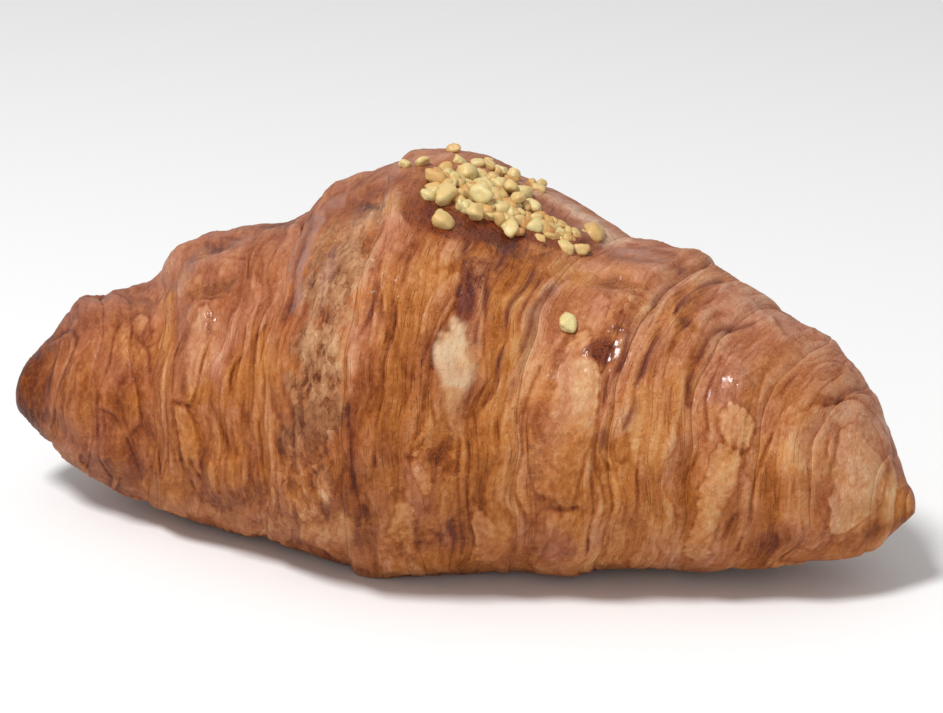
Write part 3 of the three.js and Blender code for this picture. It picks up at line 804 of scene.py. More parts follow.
# %% Unevenness, marks and layers
# name: swing in mm along x, swing in mm round the body, seed
UNEVEN = {
    "coarse": (3.2, 4.2, 11), "fine": (1.0, 1.2, 12), "broad": (13, 13, 13), "medium": (4.5, 6, 17),
    "line_fade": (2.0, 5.0, 15), "layer_fade": (6, 10, 16), "line_wander": (5, 8, 18),
    "blister": (1.6, 1.8, 51), "swell": (3.6, 4.6, 52), "pimple": (0.7, 0.75, 53), "dent": (5, 8, 54),
}
# layers with an edge, and folds: name, pitch in mm, seed
EDGED = [("big", 2.3, 21), ("small", 0.95, 31)]
FOLDED = [("broad", 5.0, 81), ("middle", 2.4, 91), ("fine", 1.2, 101), ("slab", 7.0, 111)]
print(len(UNEVEN), "plain noises,", len(EDGED), "kinds of layers,", len(FOLDED), "kinds of folds")
LEFT_SLABS = (-47, -40)          # the left arm is covered with large smooth slabs up to here
RIGHT_SLABS = (58, 62)           # and the right arm from here


def read_unevenness(x, y, z):
    """All plain noises at a place, by name."""
    uneven = SimpleNamespace()
    for name, (along, around, seed) in UNEVEN.items():
        setattr(uneven, name, noise(x / along, y / around, z / around, seed))
    uneven.blister = np.maximum(uneven.blister - 0.05, 0)
    uneven.pimple = np.maximum(uneven.pimple - 0.25, 0)
    return uneven


def read_marks(x, angle, uneven):
    """All marks at a place, by name."""
    ragged = 0.36 * uneven.coarse + 0.26 * uneven.fine
    soft = 0.45 * uneven.coarse + 0.25 * uneven.fine
    fade = smooth(uneven.line_fade, -0.45, 0.25)
    marks = SimpleNamespace(fade=fade)
    marks.pale, marks.pale_tone, marks.cream, marks.rim = pale_skin(x, angle, ragged)
    marks.torn = strongest(x, angle, TORN, soft, "torn")
    marks.gloss = strongest(x, angle, GLOSSY, soft, "gloss")
    marks.dusky = strongest(x, angle, DUSKY_AND_SHEEN, soft, "dusky")
    marks.tone, marks.warmth, marks.plum = stains(x, angle, soft)
    marks.glaze = glaze_at(x, angle, ragged, soft)
    line_warp = 0.40 * uneven.line_wander + 0.08 * uneven.fine
    lines = draw_creases(x, angle, line_warp, 1.6 * uneven.medium, fade)
    marks.line_relief, marks.line_tone, marks.line_plum = lines
    return marks


def read_layers(x, y, z, uneven, marks):
    """All layers, folds and torn sheets at a place, and how much each shows there."""
    layers = SimpleNamespace()
    for name, pitch, seed in EDGED:
        for part, values in zip(("_height", "_foot", "_tone"), layer_edges(x, y, z, pitch, seed)):
            setattr(layers, name + part, values)
    for name, pitch, seed in FOLDED:
        for part, values in zip(("_step", "_foot"), folds(x, y, z, pitch, seed)):
            setattr(layers, name + part, values)
    layers.sheet_height, layers.sheet_tone = torn_sheets(x, y, z, 41)
    layers.slabs = 1 - smooth(x, *LEFT_SLABS) + smooth(x, *RIGHT_SLABS)
    thin = layered_at(x) * (0.55 + 0.45 * smooth(uneven.layer_fade, -0.3, 0.3))
    shown = 0.08 + 0.12 * smooth(x, -48, -38) + 0.8 * thin
    layers.shown = (1 - 0.75 * marks.pale) * (1 - 0.6 * marks.torn) * shown
    return layers


# %% Relief of the skin
# how many mm each adds: everywhere, where layers show, and where there are slabs
BODY_RELIEF = {"broad": 0.42, "dent": 0.22, "swell": 0.12, "fine": 0.05}
LAYER_RELIEF = {
    "big_height": 0.20, "big_foot": -0.05, "small_height": 0.08, "broad_step": 0.17, "broad_foot": -0.08,
    "middle_step": 0.11, "fine_step": 0.03,
}
SLAB_RELIEF = {"slab_step": 0.16, "slab_foot": -0.06}
BLISTER_RELIEF = 0.20
GLAZE_THICKNESS = 0.22
TORN_RELIEF = 0.55
PALE_RELIEF = (0.12, 0.20)       # a pale sheet's own height, and that of the flakes on it


def mixed(fields, weights):
    """The sum of some fields, each times its weight."""
    return sum(weight * getattr(fields, name) for name, weight in weights.items())


def relief_of(x, angle, uneven, marks, layers):
    """Height in mm of the skin over the plain form of its wrap."""
    whole = 1 - layers.shown
    relief = mixed(uneven, BODY_RELIEF) + layers.shown * mixed(layers, LAYER_RELIEF)
    for place in LUMPS:
        relief = relief + place[4] * np.exp(-away_from(x, angle, place, 0.15 * uneven.coarse) ** 2)
    relief = relief + layers.slabs * (1 - marks.pale) * mixed(layers, SLAB_RELIEF)
    relief = relief + GLAZE_THICKNESS * marks.glaze + TORN_RELIEF * marks.torn * layers.sheet_height
    relief = relief + marks.pale * (PALE_RELIEF[0] + PALE_RELIEF[1] * layers.sheet_height)
    small = whole * uneven.blister + (0.35 + 0.65 * whole) * uneven.pimple
    return relief + BLISTER_RELIEF * small + marks.line_relief


# %% Tone and warmth of the skin
# how much tone each adds: everywhere, on whole skin, where layers show, on slabs and on pale skin
BODY_TONE = {"broad": 0.07, "medium": 0.07}
# blisters, swells and fine bumps are painted paler where they rise, as painted light
WHOLE_TONE = {"blister": 0.12, "swell": 0.09, "coarse": 0.09, "fine": 0.05}
# raised layer edges, sheets and slabs are painted paler, as painted light, and the feet under their edges
# darker, as caramel and painted shade
LAYER_TONE = {
    "big_tone": 0.10, "big_height": 0.05, "big_foot": -0.09, "small_tone": 0.04, "small_foot": -0.02,
    "broad_step": 0.08, "broad_foot": -0.12, "middle_step": 0.055, "middle_foot": -0.06, "fine_step": 0.02,
}
SLAB_TONE = {"slab_step": 0.06, "slab_foot": -0.08}
PALE_TONE = {"coarse": 0.09, "medium": 0.06, "fine": 0.06}
BODY_WARMTH = {"medium": 0.30, "broad": 0.20}
LAYER_WARMTH = {"middle_foot": 0.15, "broad_step": -0.22, "middle_step": -0.22}


def tone_of(x, angle, uneven, marks, layers):
    """0 for dark caramel to 1 for pale dough."""
    tone = tone_at(x) + 0.02 + mixed(uneven, BODY_TONE) + marks.tone
    # painted shade: darker on the lower front and underneath
    tone = tone - 0.03 * bump(angle, 330, 60) - 0.05 * bump(angle, 290, 60)
    tone = tone + (1 - layers.shown) * (mixed(uneven, WHOLE_TONE) - 0.01)
    tone = tone + layers.shown * mixed(layers, LAYER_TONE) + layers.slabs * mixed(layers, SLAB_TONE)
    bare = marks.pale_tone + mixed(uneven, PALE_TONE) + 0.12 * layers.sheet_tone
    tone = tone * (1 - marks.pale) + bare * marks.pale + 0.225 * marks.torn * layers.sheet_tone
    return tone - 0.10 * marks.rim * (0.5 + uneven.coarse) * smooth(uneven.medium, -0.4, 0.3)


def warmth_of(x, angle, uneven, marks, layers):
    """0 for rosy brown to 1 for orange."""
    warmth = warmth_at(x) - 0.12 + mixed(uneven, BODY_WARMTH) + marks.warmth + 0.20 * marks.pale
    warmth = warmth + layers.shown * mixed(layers, LAYER_WARMTH)
    # rosier on top as painted sheen, and more orange underneath to offset the grey of the floor's reflection
    return warmth - 0.35 * bump(angle, 165, 55) + 0.30 * bump(angle, 300, 70)


# %% All of it together
# the torn place whose flakes are straw-coloured, and where it ends, in mm and degrees from its middle
STRAW_X = -10.5
STRAW_ANGLE = 236
STRAW_REACH = (5, 9)
STRAW_TURN = (28, 44)
# painted shade in hollows: tone for each mm, columns and rows of the blur, and the most that it darkens
PAINTED_HOLLOW_SHADE = [(0.6, 4, 2, -0.12), (0.16, 16, 8, -0.10)]
PAINTED_RIDGE_LIGHT = 0.05                # the most that a ridge is painted paler, as painted light


def skin(x, angle, base_relief):
    """Relief in mm on top of the wraps, and the masks that the finish reads."""
    _, y, z = body_point(x, angle, 0)
    uneven = read_unevenness(x, y, z)
    marks = read_marks(x, angle, uneven)
    layers = read_layers(x, y, z, uneven, marks)
    relief = relief_of(x, angle, uneven, marks, layers)

    total = base_relief + relief
    tone = tone_of(x, angle, uneven, marks, layers) + marks.line_tone
    # tone follows the relief against its blur: painted shade in hollows, painted light on ridges
    for strength, columns, rows, darkest in PAINTED_HOLLOW_SHADE:
        tone = tone + np.clip(strength * (total - blur(total, columns, rows)), darkest, PAINTED_RIDGE_LIGHT)

    straw = 1 - smooth(np.abs(x - STRAW_X), *STRAW_REACH)
    straw = straw * (1 - smooth(np.abs(angle - STRAW_ANGLE), *STRAW_TURN))
    straw = marks.torn * straw * smooth(layers.sheet_tone + 0.25 * uneven.coarse, -0.50, -0.25)
    plum = np.maximum(marks.plum * (0.6 + 0.8 * uneven.fine), marks.line_plum * marks.fade)
    # painted sheen: a greyish pink haze over the top, which joins the dusky places
    painted_top_sheen = 0.38 * bump(angle, 172, 58) * (0.7 + 0.5 * uneven.medium + 0.3 * uneven.coarse)
    masks = {
        "tone": tone,
        "warmth": np.clip(warmth_of(x, angle, uneven, marks, layers), 0, 1),
        "straw": straw,
        "cream": marks.cream * (0.8 + 0.5 * uneven.coarse),
        "plum": np.clip(plum * (1 - 0.7 * marks.pale) * (1 - 0.8 * marks.glaze), 0, 1),
        "gloss": marks.gloss,
        "layered": layers.shown,
        "torn": marks.torn,
        "glaze": marks.glaze,
        "dusky": np.maximum(marks.dusky, painted_top_sheen),
    }
    return relief, masks


# %% [markdown]
# ## Making a wrap's mesh
# A wrap is a grid: columns follow the layers and rows go round. Rows lie closer together on the side
# that shows most. The columns of the nose follow its arc, and the others are evenly spaced. The grid
# closes on itself round the body. Its two ends are open, but they lie under the neighbours' lips.

# %% Grid and mesh helpers
ROWS = 360
COLUMN_STEP = 0.19
NOSE_COLUMNS = 16
SHOWN_SIDE = (252, 105)          # middle and half width of the angles where rows lie closer together

fine_angle = np.linspace(0, 360, 3601)
row_density = 1 + 1.0 * bump(fine_angle, *SHOWN_SIDE)
row_count = np.concatenate([[0], np.cumsum((row_density[1:] + row_density[:-1]) / 2)])
ROW_ANGLES = np.interp(np.arange(ROWS) * row_count[-1] / ROWS, row_count, fine_angle)
row_steps = np.diff(ROW_ANGLES)
print("rows lie", round(row_steps.min(), 2), "to", round(row_steps.max(), 2), "degrees apart")


def write_masks(mesh, masks, ends, shape):
    """One attribute for each mask; the point of a tip takes the mean of the ring around it."""
    for key, values in masks.items():
        values = values.reshape(*shape, -1)
        tips = [values[ring].mean(0, keepdims=True) for ring in ends]
        values = np.concatenate([values.reshape(-1, values.shape[-1]), *tips]).astype(np.float32)
        kind, field = ("FLOAT", "value") if values.shape[1] == 1 else ("FLOAT_VECTOR", "vector")
        mesh.attributes.new(key, kind, "POINT").data.foreach_set(field, values.ravel())


def mesh_from_grid(name, points, masks, tips):
    """A mesh over a grid of (columns, rows, 3) points in mm, closed round the rows.

    tips holds the ring, 0 or -1, and the point of each end that closes in a fan.
    """
    columns, rows = points.shape[:2]
    corner = np.arange(columns * rows).reshape(columns, rows)
    turned = np.roll(corner, -1, 1)
    quads = np.stack([corner[1:], turned[1:], turned[:-1], corner[:-1]], -1).reshape(-1, 4)
    fans = [np.zeros((0, 3), int)]
    for number, (ring, _) in enumerate(tips):
        pair = (corner[ring], turned[ring]) if ring == 0 else (turned[ring], corner[ring])
        fans.append(np.stack([*pair, np.full(rows, columns * rows + number)], -1))
    triangles = np.concatenate(fans)
    vertices = np.concatenate([points.reshape(-1, 3)] + [np.reshape(tip, (1, 3)) for _, tip in tips])
    vertices = (vertices + SHIFT) * MILLIMETRE
    mesh = bpy.data.meshes.new(name)
    mesh.vertices.add(len(vertices))
    mesh.vertices.foreach_set("co", vertices.astype(np.float32).ravel())
    loops = np.concatenate([quads.ravel(), triangles.ravel()])
    mesh.loops.add(len(loops))
    mesh.loops.foreach_set("vertex_index", loops.astype(np.int32))
    mesh.polygons.add(len(quads) + len(triangles))
    starts = np.concatenate([np.arange(len(quads)) * 4, len(quads) * 4 + np.arange(len(triangles)) * 3])
    mesh.polygons.foreach_set("loop_start", starts.astype(np.int32))
    mesh.update(calc_edges=True)
    mesh.shade_smooth()
    write_masks(mesh, masks, [ring for ring, _ in tips], (columns, rows))
    mesh.validate()
    return bpy.data.objects.new(name, mesh)


# %% Forms of a wrap
def tip_form(outer, inward, length, even):
    """x and plain height of a tip wrap, whose columns lie closer together at the tip."""
    first = 0.05
    distance = first + (length - first) * (0.75 * even + 0.25 * even ** 2)
    x = outer + inward * distance + 0 * ROW_ANGLES
    return x, np.full(x.shape, VALLEY)


def shoulder_form(outer, inward, length, even, shoulder):
    """x and plain height of a wrap that starts with a nose."""
    angles = ROW_ANGLES[None, :]
    arc = np.radians(np.linspace(NOSE_START, 90, NOSE_COLUMNS, endpoint=False))[:, None]
    width = nose_width(angles)
    inside = np.concatenate([width * (1 - np.cos(arc)), width + (length - width) * even])
    rise = np.concatenate([np.sin(arc) + 0 * angles, np.ones((len(even), ROWS))])
    floor = VALLEY - LIP_DROP * (0.4 + 0.6 * bump(angles, *CREASE_TOP))
    crest = crest_height(inside, shoulder, angles)
    return outer + inward * inside, floor + (crest - floor) * rise


def middle_right_side(x, base):
    """The middle wrap has a second nose on its right, so its last columns bend round that one."""
    angles = ROW_ANGLES[None, :]
    inside = MIDDLE_RIGHT_EDGE - x
    width = nose_width(angles)
    arc_share = np.clip(inside / width, 0, 1)
    crest = crest_height(np.maximum(inside, 0), MIDDLE_RIGHT_SHOULDER, angles)
    floor = VALLEY - LIP_DROP
    right = floor + (np.maximum(crest, base) - floor) * np.sqrt(1 - (1 - arc_share) ** 2)
    past = np.maximum(-inside, 0)
    bent = np.where(inside > width, np.maximum(base, crest), right)
    return np.where(inside < 0, MIDDLE_RIGHT_EDGE + 0.1 * past, x), bent - 1.6 * past


# %% One mesh for each wrap
UNDER_SLOPE = 0.9                # a wrap sinks this steeply once it is under its neighbour
SWAY = 0.9                       # the wraps sway this many mm to the left and right


def build_wrap(name, outer, inner, shoulder):
    """The mesh of one wrap, from its outer edge to just under its inner neighbour."""
    inward = 1 if outer < inner else -1
    length = abs(inner - outer) + TUCK
    count = int(round(length / COLUMN_STEP))
    even = np.arange(count + 1)[:, None] / count
    if shoulder == 0:
        x, base = tip_form(outer, inward, length, even)
    else:
        x, base = shoulder_form(outer, inward, length, even, shoulder)
    angles = ROW_ANGLES[None, :] + 0 * x
    if name == "middle":
        x, base = middle_right_side(x, base)
    else:
        base = base - UNDER_SLOPE * np.maximum((x - inner) * inward, 0) + crease(x, angles)
    relief, masks = skin(x, angles, base)
    points = np.stack(body_point(x, angles, base + relief), -1)
    _, y, z = body_point(x, angles, 0)
    points[..., 0] += SWAY * noise(x / 9, y / 8, z / 8, 71) * smooth(tip_distance(x), 2, 14)
    masks["layers"] = np.stack([x, y, z], -1)
    if inward < 0:
        points = points[::-1]
        masks = {key: value[::-1] for key, value in masks.items()}
    tip_ring = 0 if inward > 0 else -1
    tips = [(tip_ring, [outer, 0, float(tip_lift_at(outer))])] if shoulder == 0 else []
    wrap = mesh_from_grid("crust_" + name, points, masks, tips)
    bpy.context.scene.collection.objects.link(wrap)
    return wrap


wraps = [build_wrap(*row[:4]) for row in WRAPS]
print(len(wraps), "wraps,", sum(len(w.data.polygons) for w in wraps), "faces")

# %% [markdown]
# ## Chopped almonds
# The nuts are blanched almonds, chopped to pieces of 2 to 4 mm. A chopped piece has a few flat cut
# faces with soft edges. A sphere that is cut by a handful of smooth planes gives that: along each
# direction the radius is a soft minimum of the distances to the planes. They lie in a heap on the
# glazed top, with one stray piece in front. The largest are placed one by one, and smaller ones
# fill the heap between and under them.

# %% Almond pieces
# x, angle, size in mm, share of toasted brown, layer it lies in
ALMONDS = [
    (-3.1, 187, 2.0, 0.1, 0), (-1.4, 184, 2.0, 0.3, 0), (1.5, 175, 2.3, 0.2, 0), (0.9, 195, 3.5, 0.7, 0),
    (2.4, 191, 2.3, 0.1, 0), (2.9, 184, 3.9, 0.2, 0), (1.1, 202, 2.0, 0.1, 0), (2.7, 201, 4.0, 0.3, 0),
    (4.2, 193, 2.4, 0.9, 0), (5.2, 185, 3.2, 0.2, 0), (6.3, 180, 2.8, 0.2, 0), (5.6, 191, 2.0, 0.3, 1),
    (7.4, 187, 3.0, 0.6, 0), (6.2, 196, 3.3, 0.0, 1), (5.1, 202, 2.4, 0.1, 0), (6.7, 202, 3.1, 0.3, 0),
    (8.3, 200, 2.0, 0.4, 0), (8.8, 195, 3.2, 0.2, 0), (9.7, 192, 2.2, 0.3, 0), (8.7, 179, 3.6, 0.2, 0),
    (10.7, 183, 3.1, 0.1, 0), (12.3, 189, 2.4, 0.3, 0), (12.8, 193, 3.0, 0.0, 0),
    (11.1, 195, 2.1, 0.4, 0), (11.2, 201, 2.9, 0.2, 0), (3.9, 211, 3.5, 0.5, 0), (14.3, 197, 1.9, 0.6, 0),
    (14.9, 193, 2.3, 0.6, 0), (14.8, 183, 2.4, 0.6, 0), (16.5, 184, 2.3, 0.6, 0),
    (17.0, 180, 1.9, 0.5, 0), (17.7, 176, 3.9, 0.7, 0), (17.3, 193, 2.8, 0.4, 0),
    (18.5, 190, 2.6, 0.5, 0), (16.4, 189, 2.0, 0.4, 0), (6.7, 171, 2.0, 0.9, 0), (24.3, 224, 2.9, 0.0, 0),
    (4.0, 179, 2.4, 0.3, 0), (9.4, 187, 2.4, 0.4, 1), (7.9, 183, 2.2, 0.3, 1),
]
SMALL_PIECES = 125
SMALL_SIZES = (1.7, 2.6)
HEAP_ENDS = (0.8, 17.0)          # x between which the small pieces lie
HEAP_MIDDLE = 194.05             # angle of the heap's middle line at x = 0
HEAP_SLANT = 0.35                # and how many degrees it rises in each mm from there
NARROW_FROM = 11                 # from this x on the heap is narrower, and more toasted
HEAP_SPREADS = (5.2, 3.6)        # degrees on either side, before and after that


def small_pieces(random, count):
    """Smaller pieces that lie under and between the listed ones, and a few behind the crest."""
    pieces = []
    for _ in range(count):
        x = random.uniform(*HEAP_ENDS)
        narrow = x >= NARROW_FROM
        angle = HEAP_MIDDLE - HEAP_SLANT * x + random.normal(0, HEAP_SPREADS[narrow])
        size = random.uniform(*SMALL_SIZES)
        pieces.append((x, angle, size, random.uniform(0.0, 1.0) + 0.3 * narrow, 0))
    for _ in range(count // 10):
        place = (random.uniform(0, 10), random.uniform(160, 174))
        pieces.append((*place, random.uniform(*SMALL_SIZES), random.uniform(0.1, 0.7), 0))
    return pieces


print(len(ALMONDS), "pieces placed one by one, and", SMALL_PIECES + SMALL_PIECES // 10, "small ones")


# %% The shape of one piece
CUTS = 9                         # planes that a piece is cut by
CUT_DISTANCES = (0.64, 0.94)     # how far they lie from its middle, as a share of its radius
SHARPNESS = 18                   # more gives sharper edges between the cuts
STRETCH = np.array([1.26, 0.98, 0.86])


def icosphere(subdivisions):
    """Corners and triangles of a ball of radius 1."""
    shape = bmesh.new()
    bmesh.ops.create_icosphere(shape, subdivisions=subdivisions, radius=1)
    vertices = np.array([v.co[:] for v in shape.verts])
    faces = np.array([[v.index for v in f.verts] for f in shape.faces])
    shape.free()
    return vertices, faces


def chopped_piece(directions, size, random):
    """An almond chunk: a soft polyhedron, longer than wide."""
    planes = random.normal(size=(CUTS, 3))
    planes /= np.linalg.norm(planes, axis=1, keepdims=True)
    distances = random.uniform(*CUT_DISTANCES, CUTS)
    facing = np.maximum(directions @ planes.T, 0) / distances
    radius = (np.sum(facing ** SHARPNESS, 1) + 0.25) ** (-1 / SHARPNESS)
    offset = random.uniform(0, 50, 3)
    wide = noise(*(directions * 1.6 + offset).T, 61)
    narrow = noise(*(directions * 3.6 + offset).T, 62)
    radius = radius * (1 + 0.12 * wide + 0.08 * narrow)
    stretch = STRETCH * random.uniform(0.92, 1.08, 3)
    return directions * radius[:, None] * stretch * size / 2


BALL, BALL_FACES = icosphere(3)
print("each piece has", len(BALL_FACES), "faces")


# %% Where a piece rests
def crust_height(x, angle):
    """Height in mm of the wrap that is topmost at a place."""
    best = VALLEY
    for _, outer, inner, shoulder, _ in WRAPS:
        inside = (x - outer) if outer < inner else (outer - x)
        if shoulder > 0 and inside > 0:
            best = max(best, float(crest_height(np.array(max(inside, 1.5)), shoulder, np.array(angle))))
    return best


def surface_at(x, angle):
    """A point on the crust, and the direction out of it."""
    height = crust_height(x, angle)
    steps = ((-0.6, 0), (0.6, 0), (0, -1.5), (0, 1.5))
    near = np.array([body_point(x + along, angle + turn, height) for along, turn in steps], float)
    normal = np.cross(near[1] - near[0], near[3] - near[2])
    normal /= np.linalg.norm(normal)
    middle = near.mean(0)
    outward = middle - np.array([middle[0], 0, RIDE_HEIGHT * float(half_height_at(x))])
    return middle, normal * np.sign(normal @ outward)


def lying_axes(normal, spin):
    """Axes of a piece that lies flat on a surface with this normal."""
    side = np.cross(normal, [math.cos(spin), math.sin(spin), 0.3])
    side /= np.linalg.norm(side)
    return np.stack([side, np.cross(normal, side), normal])


print("the crust under the heap is", round(crust_height(5, 190), 2), "mm over the smooth body")

# %% The heap, as one joined mesh
SUNK = 0.14                      # a piece's middle lies this share of its size over the crust
LIFT = 0.15                      # and this many mm more
STACKING = 1.2                   # and this many mm higher in each next layer


def build_almonds():
    random = np.random.default_rng(5)
    vertices, polygons, toast_and_shade_values = [], [], []
    for x, angle, size, toasted, layer in ALMONDS + small_pieces(random, SMALL_PIECES):
        middle, normal = surface_at(x, angle)
        piece = chopped_piece(BALL, size, random)
        tilt = normal + random.normal(0, 0.25, 3)
        piece = piece @ lying_axes(tilt / np.linalg.norm(tilt), random.uniform(0, 6.28))
        polygons.append(BALL_FACES + len(BALL) * len(vertices))
        vertices.append(piece + middle + normal * (SUNK * size + LIFT + STACKING * layer))
        # painted shade: each piece is browner on its lower side
        low = smooth(-piece @ normal, -0.1 * size, 0.5 * size)
        toast_and_shade_values.append(toasted + 0.5 * low)
    points = (np.concatenate(vertices) + SHIFT) * MILLIMETRE
    mesh = bpy.data.meshes.new("chopped_almonds")
    mesh.from_pydata(points.tolist(), [], np.concatenate(polygons).tolist())
    mesh.shade_smooth()
    tint = mesh.attributes.new("tint", "FLOAT", "POINT")
    tint.data.foreach_set("value", np.concatenate(toast_and_shade_values).astype(np.float32))
    almonds = bpy.data.objects.new("chopped_almonds", mesh)
    bpy.context.scene.collection.objects.link(almonds)
    print(len(vertices), "almond pieces,", len(mesh.polygons), "triangles")
    return almonds


almonds = build_almonds()

# %% [markdown]
# ## Materials as expressions
# A material is a graph of nodes, and sums of masks are easiest to read as sums. The class below
# wraps a socket, so that an expression such as 1 - mask adds the Math node for it. Every other node
# comes from one method, which takes its type, its settings and its inputs.

# %% Signals and finishes
class Signal:
    """One output socket of a node; arithmetic on it adds Math nodes."""

    def __init__(self, finish, socket):
        self.finish = finish
        self.socket = socket

    def _math(self, operation, first, second):
        return self.finish.node("ShaderNodeMath", {"operation": operation}, {0: first, 1: second})

    def __add__(self, other):
        return self._math("ADD", self, other)

    def __radd__(self, other):
        return self._math("ADD", other, self)

    def __sub__(self, other):
        return self._math("SUBTRACT", self, other)

    def __rsub__(self, other):
        return self._math("SUBTRACT", other, self)

    def __mul__(self, other):
        return self._math("MULTIPLY", self, other)

    def __rmul__(self, other):
        return self._math("MULTIPLY", other, self)

    def __abs__(self):
        return self._math("ABSOLUTE", self, 0)

    def between(self, low, high):
        """0 at low and 1 at high, with nothing beyond them."""
        limits = {"From Min": low, "From Max": high, "Value": self}
        return self.finish.node("ShaderNodeMapRange", {"clamp": True}, limits, "Result")


LAMP_GAIN = 1.35                 # the lamps are this much brighter than the light the colours are named in


class Finish:
    """A material with a Principled shader, built from signals."""

    def __init__(self, name, **constants):
        self.material = bpy.data.materials.new(name)
        self.material.use_nodes = True
        self.tree = self.material.node_tree
        self.shader = next(n for n in self.tree.nodes if n.type == "BSDF_PRINCIPLED")
        for socket, value in constants.items():
            self.shader.inputs[socket.replace("_", " ")].default_value = value

    def node(self, kind, settings=None, inputs=None, output=0):
        made = self.tree.nodes.new(kind)
        for key, value in (settings or {}).items():
            if key == "stops":
                ramp = made.color_ramp
                while len(ramp.elements) < len(value):
                    ramp.elements.new(0.5)
                for element, (place, paint) in zip(ramp.elements, value):
                    element.position = place
                    element.color = paint
            else:
                setattr(made, key, value)
        for key, value in (inputs or {}).items():
            if isinstance(value, Signal):
                self.tree.links.new(value.socket, made.inputs[key])
            else:
                made.inputs[key].default_value = value
        return Signal(self, made.outputs[output])

    def attribute(self, name, output="Fac"):
        return self.node("ShaderNodeAttribute", {"attribute_name": name}, None, output)

    def ramp(self, stops, tone):
        """The colour that belongs to a tone."""
        return self.node("ShaderNodeValToRGB", {"stops": stops}, {0: tone})

    def blend(self, share, first, second):
        """A mix of two colours."""
        return self.node("ShaderNodeMix", {"data_type": "RGBA"}, {0: share, 6: first, 7: second}, 2)

    def times(self, vector, factors):
        """A vector or colour with each of its three numbers multiplied."""
        return self.node("ShaderNodeVectorMath", {"operation": "MULTIPLY"}, {0: vector, 1: factors})

    def bump(self, height, strength, distance):
        """A normal that is tilted as if the surface had this height."""
        inputs = {"Height": height, "Strength": strength, "Distance": distance}
        return self.node("ShaderNodeBump", None, inputs)

    def feed(self, **signals):
        for socket, signal in signals.items():
            self.tree.links.new(signal.socket, self.shader.inputs[socket.replace("_", " ")])

    def paint(self, seen):
        """Feeds the base colour with a colour as seen, dimmed for the lamps."""
        self.feed(Base_Color=self.times(seen, (1 / LAMP_GAIN,) * 3))


def colour(red, green, blue):
    """A screen colour of 0 to 255 as the linear light that a shader takes."""
    shares = [c / 255 for c in (red, green, blue)]
    return (*(s / 12.92 if s <= 0.04045 else ((s + 0.055) / 1.055) ** 2.4 for s in shares), 1)


def dress(piece, finish):
    """Gives a piece its finish, hangs it on the root, and hides the plain croissant part that it replaces.
    """
    piece.data.materials.append(finish.material)
    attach(piece, "root")
    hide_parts("croissant")


# %% [markdown]
# ## The baked crust
# The tone of the crust was worked out on the mesh: dark in the feet of the layers, as caramel and painted
# shade, dark in hollows and pale on ridges, as painted shade and light, pale on torn skin. A ramp turns tone
# into colour, from dark caramel through orange-brown to straw. There are two such ramps, a rosy and an
# orange one, and the warmth chooses between them. A greyish pink painted sheen lies over the top. Noise in
# the layers' own
# coordinates adds lines that are finer than the mesh. Egg wash is a thin clear coat, uneven like a
# brushed one.

# %% Crust: patterns
ROSY = [
    (0.00, colour(84, 30, 10)), (0.15, colour(112, 45, 13)), (0.35, colour(147, 75, 38)),
    (0.55, colour(178, 106, 70)), (0.70, colour(199, 133, 98)), (0.85, colour(213, 158, 125)),
    (1.00, colour(230, 190, 158)),
]
ORANGE = [
    (0.00, colour(84, 32, 0)), (0.15, colour(114, 48, 2)), (0.35, colour(152, 79, 20)),
    (0.55, colour(184, 109, 47)), (0.70, colour(204, 135, 75)), (0.85, colour(217, 159, 103)),
    (1.00, colour(231, 190, 142)),
]
STRAW = [
    (0.1, colour(112, 56, 26)), (0.4, colour(163, 108, 70)), (0.7, colour(196, 148, 108)),
    (1.0, colour(217, 175, 135)),
]
CREAM = colour(222, 194, 158)
PLUM = colour(100, 50, 48)
# greyish pink of the dusky places and of the painted sheen on top
DUSKY_SHEEN_PINK = colour(184, 138, 124)
GLAZE = colour(116, 42, 16)

crust = Finish("baked_crust", Roughness=0.5, Coat_Roughness=0.15, Coat_IOR=1.45, IOR=1.24)
layer_place = crust.attribute("layers", "Vector")
MASKS = ("tone", "warmth", "gloss", "layered", "torn", "glaze")
tone, warmth, gloss, layered, torn, glaze = (crust.attribute(key) for key in MASKS)
dusky = crust.attribute("dusky").between(0.0, 1.0)


def stretched(across, along, detail=3.0, distortion=0.0):
    """Noise of about -0.5 to 0.5, with this many swings in a mm across the layers and along them."""
    place = crust.times(layer_place, (across, along, along))
    inputs = {"Vector": place, "Scale": 1.0, "Detail": detail, "Roughness": 0.6, "Distortion": distortion}
    return crust.node("ShaderNodeTexNoise", {"noise_dimensions": "3D"}, inputs) - 0.5


def flakes(across, along, warp):
    """A random share for each flake of skin, and the distance to the flake's edge."""
    swirl_inputs = {"Vector": crust.times(layer_place, (0.6, 0.4, 0.4)), "Scale": 1.0, "Detail": 3.0}
    swirl = crust.node("ShaderNodeTexNoise", None, swirl_inputs, 1)
    place = crust.times(layer_place, (across, along, along))
    add = {0: swirl, 1: (warp, warp, warp), 2: place}
    moved = {"Vector": crust.node("ShaderNodeVectorMath", {"operation": "MULTIPLY_ADD"}, add), "Scale": 1.0}
    share = crust.node("ShaderNodeTexVoronoi", {"feature": "F1"}, moved, 1) - 0.5
    edge = crust.node("ShaderNodeTexVoronoi", {"feature": "DISTANCE_TO_EDGE"}, moved)
    return share, edge


